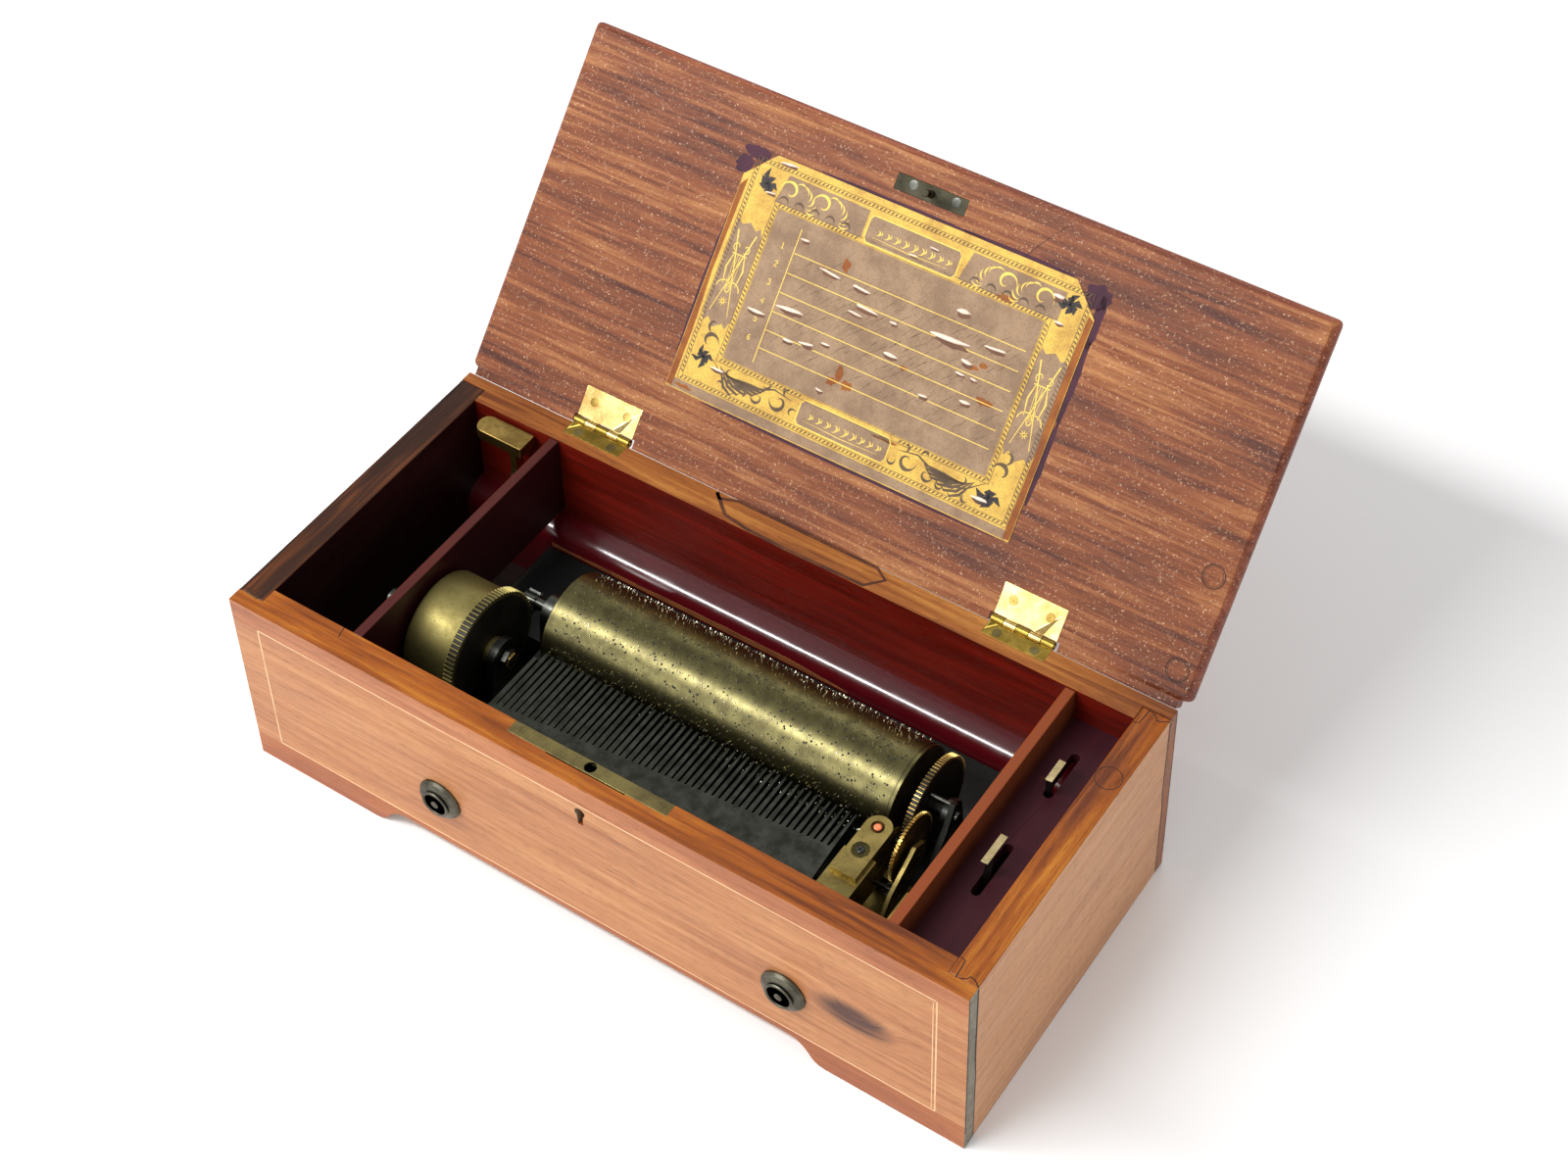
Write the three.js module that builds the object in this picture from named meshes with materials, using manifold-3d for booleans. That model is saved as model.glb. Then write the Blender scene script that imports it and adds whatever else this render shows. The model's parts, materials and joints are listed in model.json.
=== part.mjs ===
import * as THREE from 'three';
import Module from 'manifold-3d';
import { mergeVertices } from 'three/addons/utils/BufferGeometryUtils.js';

const wasm = await Module();
wasm.setup();

// All sizes in mm: X from the left end, Y from the front face, Z up from the table.

// carcass
const caseLength = 388;
const caseDepth = 173;
const caseHeight = 108;
const endWall = 14;
const frontWall = 15;
const rearWall = 14;
const frontLap = 7;
const rearLap = 6;
const footLength = 70;
const footRise = 12;
const ogee = 20;
const bottomZ = 14;
const bottomThick = 6;
const innerLeft = endWall;
const innerRight = caseLength - endWall;
const innerFront = frontWall;
const innerRear = caseDepth - rearWall;
const partitionThick = 5;
const partitionTop = 107.5;
const leftPartitionX = 59.5;
const leftPartitionZ = 62;
const rightPartitionX = 340.5;
const rightPartitionZ = 66;
const boardTop = 90;
const boardThick = 6;
const slotWidth = 4.4;
const slotX = 357;
const railFront = 145;
const railTop = 58.5;

// lid, hinges, lock
const lidGap = 0.3;
const lidThick = 10;
const lidFront = -2;
const lidBulge = 2.5;
const openAngle = THREE.MathUtils.degToRad(131);
const hingeY = 175.3;
const hingeZ = 108.15;
const hingeLength = 32;
const hingeInset = 62.5;
const leafThick = 1.5;
const knuckleRadius = 2.2;
const knuckleBore = 1.25;
const pinRadius = 1;
const lockX = 193.5;
const lockY = 11.8;
const lockPlateLength = 84;
const sheetWidth = 187;
const sheetHeight = 120;
const sheetThick = 0.4;

// bedplate and what stands on it
const bedTop = 48.5;
const bedThick = 9;
const bedLeft = 68;
const bedRight = 334;
const bedFront = 16;
const bedRear = 144.4;
const boltX = [113.5, 298.3];
const boltZ = 43.5;
const boltHeadRadius = 11.2;
const boltHeadHeight = 4.2;
const boltShank = 3;

// spring barrel, with the great wheel on its right end
const barrelY = 62;
const barrelZ = 73;
const barrelLeft = 67;
const barrelRight = 92;
const barrelRadius = 27;
const greatTeeth = 80;
const arborTeeth = 12;

// cylinder
const cylinderY = 95.3;
const cylinderZ = 74;
const cylinderRadius = 24.75;
const cylinderLeft = 118.3;
const cylinderRight = 304;
const arborRadius = 3;
const wheelTeeth = 80;
const wheelLeft = 311;
const wheelRight = 314.2;
const wheelModule = 0.6;

// comb
const combTeeth = 52;
const combFirst = 120.6;
const combLast = 290;
const combTop = 80;
const combThick = 2.4;
const combTip = 69.6;
const combFront = 20;

// governor
const firstY = 68.6;
const firstZ = 78;
const firstPinionTeeth = 10;
const firstWheelTeeth = 60;
const secondPinionTeeth = 10;
const secondModule = 0.55;
const wormWheelTeeth = 24;
const wormWheelModule = 0.6;
const wormStarts = 2;
const wormX = 306;
const wormY = 61.5;
const wormPitchRadius = 2;

// winding and control
const leverX = 45;
const handleY = 152;
const handleTop = 105;
const rockY = 67;
const rockZ = 60;
const changeY = 121;
const changeZ = 56;

const walnut = new THREE.MeshStandardMaterial({ name: 'mahogany', color: 0xb87447 });
const stained = new THREE.MeshStandardMaterial({ name: 'stained_wood', color: 0x3a1018 });
const brass = new THREE.MeshStandardMaterial({ name: 'brass', color: 0xb89a52, metalness: 1 });
const steel = new THREE.MeshStandardMaterial({ name: 'steel', color: 0x6b706e, metalness: 1 });
const iron = new THREE.MeshStandardMaterial({ name: 'black_iron', color: 0x15191a, metalness: 0.3 });
const bronze = new THREE.MeshStandardMaterial({ name: 'bronze', color: 0x5a5a4c, metalness: 1 });
const card = new THREE.MeshStandardMaterial({ name: 'card', color: 0xc0a05a });
const ruby = new THREE.MeshStandardMaterial({ name: 'ruby', color: 0xd8663c });

const movement = new THREE.Group();
movement.name = 'cylinder_music_box';

function add(name, geometry, material) {
  const mesh = new THREE.Mesh(surface(solid(geometry)), material);
  mesh.name = name;
  movement.add(mesh);
  return mesh;
}

function box(x0, x1, y0, y1, z0, z1) {
  const geometry = new THREE.BoxGeometry(x1 - x0, y1 - y0, z1 - z0);
  return geometry.translate((x0 + x1) / 2, (y0 + y1) / 2, (z0 + z1) / 2);
}

// A flat outline in (y, z), made solid from x0 to x1.
function plateX(shape, x0, x1, curveSegments = 12) {
  const geometry = new THREE.ExtrudeGeometry(shape, { depth: x1 - x0, bevelEnabled: false, curveSegments });
  const turn = new THREE.Matrix4().makeBasis(
    new THREE.Vector3(0, 1, 0),
    new THREE.Vector3(0, 0, 1),
    new THREE.Vector3(1, 0, 0),
  );
  return geometry.applyMatrix4(turn).translate(x0, 0, 0);
}

// A flat outline in (x, z), made solid from y0 to y1.
function plateY(shape, y0, y1, curveSegments = 12) {
  const geometry = new THREE.ExtrudeGeometry(shape, { depth: y1 - y0, bevelEnabled: false, curveSegments });
  return geometry.rotateX(Math.PI / 2).translate(0, y1, 0);
}

// A flat outline in (x, y), made solid from z0 to z1.
function plateZ(shape, z0, z1, curveSegments = 12) {
  const geometry = new THREE.ExtrudeGeometry(shape, { depth: z1 - z0, bevelEnabled: false, curveSegments });
  return geometry.translate(0, 0, z0);
}

// A turned piece: [distance along, radius] pairs, about the X axis through (y, z).
function turnedX(profile, y, z, segments = 24) {
  const points = profile.map(([along, radius]) => new THREE.Vector2(radius, along));
  return new THREE.LatheGeometry(points, segments).rotateZ(-Math.PI / 2).translate(0, y, z);
}

function turnedY(profile, x, z, segments = 24) {
  const points = profile.map(([along, radius]) => new THREE.Vector2(radius, along));
  return new THREE.LatheGeometry(points, segments).translate(x, 0, z);
}

function turnedZ(profile, x, y, segments = 24) {
  const points = profile.map(([along, radius]) => new THREE.Vector2(radius, along));
  return new THREE.LatheGeometry(points, segments).rotateX(Math.PI / 2).translate(x, y, 0);
}

function rodX(x0, x1, y, z, radius, segments = 24) {
  return turnedX([[x0, 0], [x0, radius], [x1, radius], [x1, 0]], y, z, segments);
}

function rodY(y0, y1, x, z, radius, segments = 24) {
  return turnedY([[y0, 0], [y0, radius], [y1, radius], [y1, 0]], x, z, segments);
}

function rodZ(z0, z1, x, y, radius, segments = 24) {
  return turnedZ([[z0, 0], [z0, radius], [z1, radius], [z1, 0]], x, y, segments);
}

function solid(geometry) {
  const bare = geometry.clone();
  bare.deleteAttribute('normal');
  bare.deleteAttribute('uv');
  const welded = mergeVertices(bare, 1e-4);
  return new wasm.Manifold(new wasm.Mesh({
    numProp: 3,
    vertProperties: new Float32Array(welded.attributes.position.array),
    triVerts: new Uint32Array(welded.index.array),
  }));
}

function surface(manifold) {
  const mesh = manifold.getMesh();
  const geometry = new THREE.BufferGeometry();
  geometry.setAttribute('position', new THREE.BufferAttribute(new Float32Array(mesh.vertProperties), 3));
  geometry.setIndex(new THREE.BufferAttribute(new Uint32Array(mesh.triVerts), 1));
  return geometry;
}

function join(...pieces) {
  return surface(pieces.map(solid).reduce((whole, piece) => whole.add(piece)));
}

function cut(block, ...tools) {
  return surface(tools.map(solid).reduce((whole, tool) => whole.subtract(tool), solid(block)));
}

function outline(points) {
  return new THREE.Shape(points.map(([a, b]) => new THREE.Vector2(a, b)));
}

function disc(y, z, radius) {
  const shape = new THREE.Shape();
  shape.absarc(y, z, radius, 0, 2 * Math.PI, false);
  return shape;
}

function pierce(shape, y, z, radius) {
  const hole = new THREE.Path();
  hole.absarc(y, z, radius, 0, 2 * Math.PI, true);
  shape.holes.push(hole);
  return shape;
}

// Straight-sided teeth about (y, z); phase is the angle of one tooth's middle.
function toothed(y, z, teeth, pitchRadius, module, phase) {
  const corners = [
    [pitchRadius - 1.15 * module, -0.58],
    [pitchRadius + 0.75 * module, -0.2],
    [pitchRadius + 0.75 * module, 0.2],
    [pitchRadius - 1.15 * module, 0.58],
  ];
  const points = [];
  for (let tooth = 0; tooth < teeth; tooth += 1) {
    for (const [radius, lean] of corners) {
      const angle = phase + (2 * Math.PI * tooth + lean * Math.PI) / teeth;
      points.push([y + radius * Math.cos(angle), z + radius * Math.sin(angle)]);
    }
  }
  return outline(points);
}

// A flat strip that follows a line of points in (y, z), always the same thickness.
function strip(points, thickness) {
  const line = points.map(([y, z]) => new THREE.Vector2(y, z));
  const left = [];
  const right = [];
  line.forEach((point, i) => {
    const before = line[Math.max(i - 1, 0)];
    const after = line[Math.min(i + 1, line.length - 1)];
    const into = point.clone().sub(before).normalize();
    const out = after.clone().sub(point).normalize();
    const along = into.add(out).normalize();
    const reach = thickness / 2 / Math.max(along.dot(i ? point.clone().sub(before).normalize() : out), 0.5);
    const side = new THREE.Vector2(-along.y, along.x).multiplyScalar(reach);
    left.push(point.clone().add(side));
    right.unshift(point.clone().sub(side));
  });
  return new THREE.Shape([...left, ...right]);
}

// ---- carcass
function longBoard() {
  const shape = new THREE.Shape();
  shape.moveTo(0, 0);
  shape.lineTo(footLength, 0);
  shape.bezierCurveTo(footLength + 9, 0, footLength + 7, footRise, footLength + ogee, footRise);
  shape.lineTo(caseLength - footLength - ogee, footRise);
  shape.bezierCurveTo(caseLength - footLength - 7, footRise, caseLength - footLength - 9, 0, caseLength - footLength, 0);
  shape.lineTo(caseLength, 0);
  shape.lineTo(caseLength, caseHeight);
  shape.lineTo(0, caseHeight);
  return shape;
}

const keyhole = new THREE.Path();
keyhole.absarc(lockX + 1.5, 90.5, 2.7, -0.3 * Math.PI, 1.3 * Math.PI, false);
keyhole.lineTo(lockX + 0.2, 82.5);
keyhole.lineTo(lockX + 2.8, 82.5);
const frontShape = longBoard();
frontShape.holes.push(keyhole);
boltX.forEach((x) => pierce(frontShape, x, boltZ, boltShank + 0.3));
add('case_front', cut(
  plateY(frontShape, 0, frontWall, 8),
  box(-1, endWall, frontLap, frontWall + 1, -1, caseHeight + 1),
  box(innerRight, caseLength + 1, frontLap, frontWall + 1, -1, caseHeight + 1),
  box(lockX - lockPlateLength / 2, lockX + lockPlateLength / 2, lockY - 3.5, frontWall + 1,
    caseHeight - leafThick, caseHeight + 1),
  box(lockX - 21, lockX + 21, lockY - 4.1, frontWall + 1, 79, caseHeight + 1),
), walnut);

const hingeStart = [hingeInset, caseLength - hingeInset - hingeLength];
const rearShape = longBoard();
boltX.forEach((x) => pierce(rearShape, x, boltZ, boltShank + 0.3));
add('case_rear', cut(
  plateY(rearShape, innerRear, caseDepth, 8),
  box(-1, endWall, innerRear - 1, caseDepth - rearLap, -1, caseHeight + 1),
  box(innerRight, caseLength + 1, innerRear - 1, caseDepth - rearLap, -1, caseHeight + 1),
  ...hingeStart.map((x) => box(x, x + hingeLength, 165.3, caseDepth + 1, caseHeight - leafThick, caseHeight + 1)),
), walnut);

add('case_left', box(0, endWall, frontLap, caseDepth - rearLap, 0, caseHeight), walnut);
add('case_right', box(innerRight, caseLength, frontLap, caseDepth - rearLap, 0, caseHeight), walnut);
add('case_bottom', box(innerLeft, innerRight, innerFront, innerRear, bottomZ, bottomZ + bottomThick), walnut);

// The left partition straddles the winding arbor; both stop above the bedplate.
const leftPartition = outline([[innerFront, leftPartitionZ], [barrelY - 7, leftPartitionZ]]);
leftPartition.absarc(barrelY, barrelZ, 7, Math.PI, 0, true);
leftPartition.lineTo(barrelY + 7, leftPartitionZ);
leftPartition.lineTo(innerRear, leftPartitionZ);
leftPartition.lineTo(innerRear, partitionTop);
leftPartition.lineTo(innerFront, partitionTop);
add('left_partition', plateX(leftPartition, leftPartitionX, leftPartitionX + partitionThick), stained);
add('right_partition', box(rightPartitionX, rightPartitionX + partitionThick, innerFront, innerRear,
  rightPartitionZ, partitionTop), stained);

function slotPath(y0, y1) {
  const r = slotWidth / 2;
  const path = new THREE.Path();
  path.absarc(slotX, y0 + r, r, Math.PI, 2 * Math.PI, false);
  path.absarc(slotX, y1 - r, r, 0, Math.PI, false);
  return path;
}

const boardLeft = rightPartitionX + partitionThick;
const boardShape = outline([
  [boardLeft, innerFront], [innerRight, innerFront], [innerRight, innerRear], [boardLeft, innerRear],
]);
boardShape.holes.push(slotPath(55, 85.4), slotPath(114.5, 141.8));
add('control_board', plateZ(boardShape, boardTop - boardThick, boardTop, 6), stained);

const railShape = outline([[railFront, bottomZ + bottomThick], [innerRear, bottomZ + bottomThick],
  [innerRear, railTop]]);
railShape.bezierCurveTo(innerRear - 6, railTop, railFront + 1, railTop - 3, railFront, 49);
add('rear_rail', cut(
  plateX(railShape, innerLeft, innerRight, 8),
  ...boltX.map((x) => rodY(railFront - 1, innerRear + 1, x, boltZ, boltShank + 0.4, 12)),
), stained);

// ---- lock
const lockPlate = outline([
  [lockX - lockPlateLength / 2, lockY - 3.5], [lockX + lockPlateLength / 2, lockY - 3.5],
  [lockX + lockPlateLength / 2, frontWall], [lockX - lockPlateLength / 2, frontWall],
]);
add('lock_plate', plateZ(pierce(lockPlate, lockX, lockY, 2.75), caseHeight - leafThick, caseHeight), brass);
add('lock_case', cut(
  box(lockX - 20.7, lockX + 20.7, lockY - 3.9, frontWall - 0.1, 79.3, caseHeight - leafThick - 0.1),
  box(lockX - 18, lockX + 18, lockY - 2.7, frontWall - 0.8, 97, caseHeight),
), brass);
add('lock_bolt', join(
  box(lockX + 8, lockX + 17, lockY - 1.6, lockY + 1.4, 97.3, 106),
  box(lockX + 5.4, lockX + 9, lockY - 1.6, lockY + 1.4, 103.4, 104.6),
), steel);

// ---- bolts that hold the bedplate to the case
function caseBolt(x, face, inward, length) {
  const dome = [];
  for (let i = 0; i <= 4; i += 1) {
    const t = (i / 4) * Math.PI / 2;
    dome.push([face - inward * (1 + (boltHeadHeight - 1) * Math.cos(t)), boltHeadRadius * Math.sin(t)]);
  }
  const profile = [...dome, [face, boltHeadRadius], [face, boltShank], [face + inward * length, boltShank],
    [face + inward * length, 0]];
  const bolt = turnedY(inward > 0 ? profile : profile.reverse(), x, boltZ, 20);
  const slot = box(-6.5, 6.5, -1.4, 1.4, -0.9, 0.9).rotateY(0.6 * inward);
  return cut(bolt, slot.translate(x, face - inward * boltHeadHeight, boltZ));
}

['left', 'right'].forEach((side, i) => {
  add(`front_bolt_${side}`, caseBolt(boltX[i], 0, 1, 27), bronze);
  add(`rear_bolt_${side}`, caseBolt(boltX[i], caseDepth, -1, 40), bronze);
});

// ---- lid, drawn shut and then swung open about the hinge pins
function swingOpen(geometry) {
  return geometry.translate(0, -hingeY, -hingeZ).rotateX(-openAngle).translate(0, hingeY, hingeZ);
}

// The lid's edge swells out at the front and ends but stays flush at the back.
function lidRing(offset) {
  const corner = 2.5;
  const ring = [];
  const turns = [[1, 1, 0], [-1, 1, 0], [-1, -1, 1], [1, -1, 1]];
  turns.forEach(([sx, sy, front], index) => {
    const cx = caseLength / 2 + sx * (caseLength / 2 + 0.3 + offset - corner);
    const cy = front ? lidFront - offset + corner : caseDepth - corner;
    for (let i = 0; i <= 3; i += 1) {
      const angle = (index + i / 3) * Math.PI / 2;
      ring.push([cx + corner * Math.cos(angle), cy + corner * Math.sin(angle)]);
    }
  });
  return ring;
}

function loft(levels) {
  const positions = [];
  const index = [];
  const count = levels[0].ring.length;
  levels.forEach(({ ring, z }) => ring.forEach(([x, y]) => positions.push(x, y, z)));
  for (let level = 0; level < levels.length - 1; level += 1) {
    for (let i = 0; i < count; i += 1) {
      const a = level * count + i;
      const b = level * count + ((i + 1) % count);
      index.push(a, b, b + count, a, b + count, a + count);
    }
  }
  const top = (levels.length - 1) * count;
  for (let i = 1; i < count - 1; i += 1) {
    index.push(0, i + 1, i, top, top + i, top + i + 1);
  }
  const geometry = new THREE.BufferGeometry();
  geometry.setAttribute('position', new THREE.Float32BufferAttribute(positions, 3));
  geometry.setIndex(index);
  return geometry;
}

const lidBottom = caseHeight + lidGap;
const lidProfile = [[0, 0], [1.5, 0.55], [3.5, 1], [6.5, 1], [8.6, 0.55], [lidThick, -0.3]];
const lidBlock = loft(lidProfile.map(([rise, swell]) => ({ ring: lidRing(swell * lidBulge), z: lidBottom + rise })));
// A bead along the lid's back edge covers the gap behind the rear wall and stops short of the hinges.
const beadDepth = 4.1;
const beadGap = 1.5;
const beadEnds = [2, ...hingeStart.flatMap((x) => [x - beadGap, x + hingeLength + beadGap]), caseLength - 2];
const beads = [0, 2, 4].map((i) => box(beadEnds[i], beadEnds[i + 1], caseDepth - 1, caseDepth + beadDepth,
  lidBottom, lidBottom + 8));
const catchLength = 37.5;
add('lid', swingOpen(cut(
  join(lidBlock, ...beads),
  ...hingeStart.map((x) => box(x, x + hingeLength, 158, caseDepth + 1, lidBottom - 1, lidBottom + leafThick)),
  box(lockX - catchLength / 2, lockX + catchLength / 2, lockY - 4, lockY + 4, lidBottom - 1, lidBottom + 1.2),
)), walnut);

const clip = 14;
const sheetLeft = 101;
const sheetRear = caseDepth - 31;
const sheetFront = sheetRear - sheetHeight;
const sheetRight = sheetLeft + sheetWidth;
add('tune_sheet', swingOpen(plateZ(outline([
  [sheetLeft, sheetRear], [sheetLeft, sheetFront + clip], [sheetLeft + clip, sheetFront],
  [sheetRight - clip, sheetFront], [sheetRight, sheetFront + clip], [sheetRight, sheetRear],
]), lidBottom - sheetThick - 0.05, lidBottom - 0.05)), card);

const catchPlate = box(lockX - catchLength / 2, lockX + catchLength / 2, lockY - 4, lockY + 4,
  lidBottom, lidBottom + 1.2);
const catchPeg = turnedZ([[lidBottom - 7, 0], [lidBottom - 7, 1.8], [lidBottom - 5.2, 1.8], [lidBottom - 5.2, 1],
  [lidBottom - 2.6, 1], [lidBottom - 1.4, 1.8], [lidBottom + 0.6, 1.8], [lidBottom + 0.6, 0]], lockX, lockY, 20);
add('lid_catch', swingOpen(join(catchPlate, catchPeg)), brass);

// Five knuckles to a hinge: three on the case leaf, two on the lid leaf.
function hingeLeaf(x, y0, z0, knuckles) {
  const step = hingeLength / 5;
  const pieces = [box(x, x + hingeLength, y0, 172.9, z0, z0 + leafThick)];
  knuckles.forEach((k) => {
    const x0 = x + k * step + 0.1;
    const x1 = x + (k + 1) * step - 0.1;
    pieces.push(box(x0, x1, 172.5, hingeY, z0, z0 + leafThick));
    pieces.push(rodX(x0, x1, hingeY, hingeZ, knuckleRadius, 14));
  });
  return cut(join(...pieces), rodX(x - 1, x + hingeLength + 1, hingeY, hingeZ, knuckleBore, 12));
}

['left', 'right'].forEach((side, i) => {
  const x = hingeStart[i];
  add(`hinge_${side}_case_leaf`, hingeLeaf(x, 165.3, caseHeight - leafThick, [0, 2, 4]), brass);
  add(`hinge_${side}_lid_leaf`, swingOpen(hingeLeaf(x, 158, lidBottom, [1, 3])), brass);
  add(`hinge_${side}_pin`, rodX(x - 0.4, x + hingeLength + 0.4, hingeY, hingeZ, pinRadius, 12), steel);
});

// ---- bedplate, open under the spring barrel
const bedBottom = bedTop - bedThick;
add('bedplate', cut(
  box(bedLeft, bedRight, bedFront, bedRear, bedBottom, bedTop),
  box(bedLeft - 1, 100.5, barrelY - 31, barrelY + 31, bedBottom - 1, bedTop + 1),
  ...boltX.map((x) => rodY(bedFront - 1, 29, x, boltZ, boltShank + 0.4, 12)),
  ...boltX.map((x) => rodY(bedRear - 14, bedRear + 1, x, boltZ, boltShank + 0.4, 12)),
), iron);

// ---- gear train: where each wheel looks for the next
function bearing(fromY, fromZ, toY, toZ) {
  return Math.atan2(toZ - fromZ, toY - fromY);
}

const greatModule = 2 * Math.hypot(cylinderY - barrelY, cylinderZ - barrelZ) / (greatTeeth + arborTeeth + 0.3);
const greatRadius = greatModule * greatTeeth / 2;
const barrelToArbor = bearing(barrelY, barrelZ, cylinderY, cylinderZ);
const cylinderToFirst = bearing(cylinderY, cylinderZ, firstY, firstZ);
const wheelRadius = wheelModule * wheelTeeth / 2;

// ---- spring barrel
const arborHole = arborRadius + 0.3;
const drum = turnedX([
  [barrelLeft, barrelRadius - 1.6], [barrelLeft, barrelRadius - 0.6], [barrelLeft + 1.2, barrelRadius],
  [barrelRight + 0.5, barrelRadius], [barrelRight + 0.5, arborHole], [barrelRight - 2, arborHole],
  [barrelRight - 2, barrelRadius - 1.6], [barrelLeft, barrelRadius - 1.6],
], barrelY, barrelZ, 36);
const greatWheel = toothed(barrelY, barrelZ, greatTeeth, greatRadius, greatModule, barrelToArbor);
const barrelHub = turnedX([[96, arborHole], [96, 7], [99.5, 7], [99.5, arborHole], [96, arborHole]],
  barrelY, barrelZ, 24);
add('spring_barrel', join(
  drum,
  plateX(pierce(greatWheel, barrelY, barrelZ, arborHole), barrelRight, 97),
  barrelHub,
), brass);
add('barrel_cap', turnedX([
  [barrelLeft + 0.3, arborHole], [barrelLeft + 0.3, barrelRadius - 1.9], [barrelLeft + 2.3, barrelRadius - 1.9],
  [barrelLeft + 2.3, arborHole], [barrelLeft + 0.3, arborHole],
], barrelY, barrelZ, 36), brass);

const coils = [];
const coilTurns = 4;
const coilSteps = 18 * coilTurns;
for (let i = 0; i <= coilSteps; i += 1) {
  const turn = (i / 18) * 2 * Math.PI;
  const radius = 5 + (barrelRadius - 7.2) * (i / coilSteps);
  coils.push([barrelY + radius * Math.cos(turn), barrelZ + radius * Math.sin(turn)]);
}
add('mainspring', plateX(strip(coils, 0.8), barrelLeft + 3.2, barrelRight - 3), steel);

// The arbor, with a collar that keeps the lever on and a nut at the great wheel's end.
add('barrel_arbor', join(
  turnedX([[37, 0], [37, arborRadius - 0.6], [37.6, arborRadius], [108.6, arborRadius], [108.6, 0]],
    barrelY, barrelZ, 24),
  rodX(38.4, 41.6, barrelY, barrelZ, 5.2, 24),
  rodX(105.3, 108, barrelY, barrelZ, 5, 6),
), steel);

// A standard: a foot on the bedplate, a straight stem and a round bearing eye.
function standard(x0, x1, y, z, eye, footX0, footX1) {
  const stem = outline([[y - eye * 1.3, bedTop], [y + eye * 1.3, bedTop], [y + eye * 1.3, bedTop + 3], [y + eye, z]]);
  stem.absarc(y, z, eye, 0, Math.PI, false);
  stem.lineTo(y - eye * 1.3, bedTop + 3);
  pierce(stem, y, z, arborHole);
  return join(plateX(stem, x0, x1), box(footX0, footX1, y - eye * 1.3, y + eye * 1.3, bedTop, bedTop + 2.5));
}

add('barrel_cock_right', standard(100.7, 104.7, barrelY, barrelZ, 9, 100.7, 113), steel);

// The left cock steps back past the opening and runs in under the partition.
const cockShape = outline([[barrelY - 7, barrelZ - 4], [barrelY + 32, bedTop], [barrelY + 44, bedTop],
  [barrelY + 44, bedTop + 6], [barrelY + 6, barrelZ + 6]]);
cockShape.absarc(barrelY, barrelZ, 8, 0.25 * Math.PI, 1.15 * Math.PI, false);
add('barrel_cock_left', join(
  plateX(pierce(cockShape, barrelY, barrelZ, arborHole), 52, 55.5),
  box(52, 84, barrelY + 32, barrelY + 44, bedTop, bedTop + 3),
), steel);

const ratchetShape = [];
const ratchetTeeth = 24;
for (let i = 0; i < ratchetTeeth; i += 1) {
  const angle = (2 * Math.PI * i) / ratchetTeeth;
  ratchetShape.push([barrelY + 8.2 * Math.cos(angle), barrelZ + 8.2 * Math.sin(angle)]);
  ratchetShape.push([barrelY + 9.6 * Math.cos(angle + 0.03), barrelZ + 9.6 * Math.sin(angle + 0.03)]);
}
add('ratchet_wheel', plateX(pierce(outline(ratchetShape), barrelY, barrelZ, arborRadius + 0.1), 48.6, 51.4), steel);

const clickShape = strip([[barrelY + 21, 60], [barrelY + 16, 66], [barrelY + 9.2, barrelZ - 6.4]], 2.4);
add('holding_click', join(
  plateX(clickShape, 48.8, 51.2),
  rodX(48.8, 52, barrelY + 21, 60, 2.6, 16),
), steel);

// ---- winding lever: a curved arm on the arbor with a flat brass thumb piece
const armLine = [[barrelY, barrelZ]];
for (let i = 0; i <= 6; i += 1) {
  const t = (i / 6) * Math.PI / 2;
  armLine.push([handleY - 20 + 18 * Math.sin(t), barrelZ + 17 - 18 * Math.cos(t)]);
}
armLine.push([handleY - 2, handleTop - 4]);
const handleShape = new THREE.Shape();
handleShape.moveTo(leverX + 6, handleY - 5.6);
handleShape.lineTo(leverX + 6, handleY + 5.6);
handleShape.lineTo(leverX - 18, handleY + 5.6);
handleShape.bezierCurveTo(leverX - 24.5, handleY + 5.4, leverX - 24.5, handleY - 5.4, leverX - 18, handleY - 5.6);
add('winding_lever', cut(
  join(
    plateX(strip(armLine, 5), leverX - 2, leverX + 1.8, 6),
    rodX(leverX - 2.6, leverX + 2.6, barrelY, barrelZ, 8, 28),
    plateZ(handleShape, handleTop - 6, handleTop, 8),
  ),
  rodX(leverX - 4, leverX + 4, barrelY, barrelZ, arborHole, 24),
), brass);

// ---- cylinder
const pinionModule = greatModule;
add('cylinder_arbor', join(
  turnedX([[90, 0], [90, arborRadius - 0.5], [90.5, arborRadius], [325.5, arborRadius], [326, arborRadius - 0.5],
    [326, 0]], cylinderY, cylinderZ, 24),
  plateX(toothed(cylinderY, cylinderZ, arborTeeth, arborTeeth * pinionModule / 2, pinionModule,
    barrelToArbor + Math.PI + Math.PI / arborTeeth), 91.3, 97.7),
), steel);
add('cylinder_tube', turnedX([
  [cylinderLeft + 2, cylinderRadius - 1.4], [cylinderLeft + 2, cylinderRadius],
  [cylinderRight - 2, cylinderRadius], [cylinderRight - 2, cylinderRadius - 1.4],
  [cylinderLeft + 2, cylinderRadius - 1.4],
], cylinderY, cylinderZ, 48), brass);
[['left', cylinderLeft], ['right', cylinderRight - 2]].forEach(([side, x]) => {
  add(`cylinder_cap_${side}`, turnedX([
    [x, arborHole], [x, cylinderRadius - 0.2], [x + 2, cylinderRadius - 0.2], [x + 2, arborHole],
    [x, arborHole],
  ], cylinderY, cylinderZ, 48), brass);
});
const cylinderWheel = toothed(cylinderY, cylinderZ, wheelTeeth, wheelRadius, wheelModule, cylinderToFirst);
add('cylinder_wheel', plateX(pierce(cylinderWheel, cylinderY, cylinderZ, arborRadius + 0.15), wheelLeft, wheelRight),
  brass);
add('cylinder_bracket_left', standard(105, 110, cylinderY, cylinderZ, 8, 105, 116.5), steel);
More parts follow.
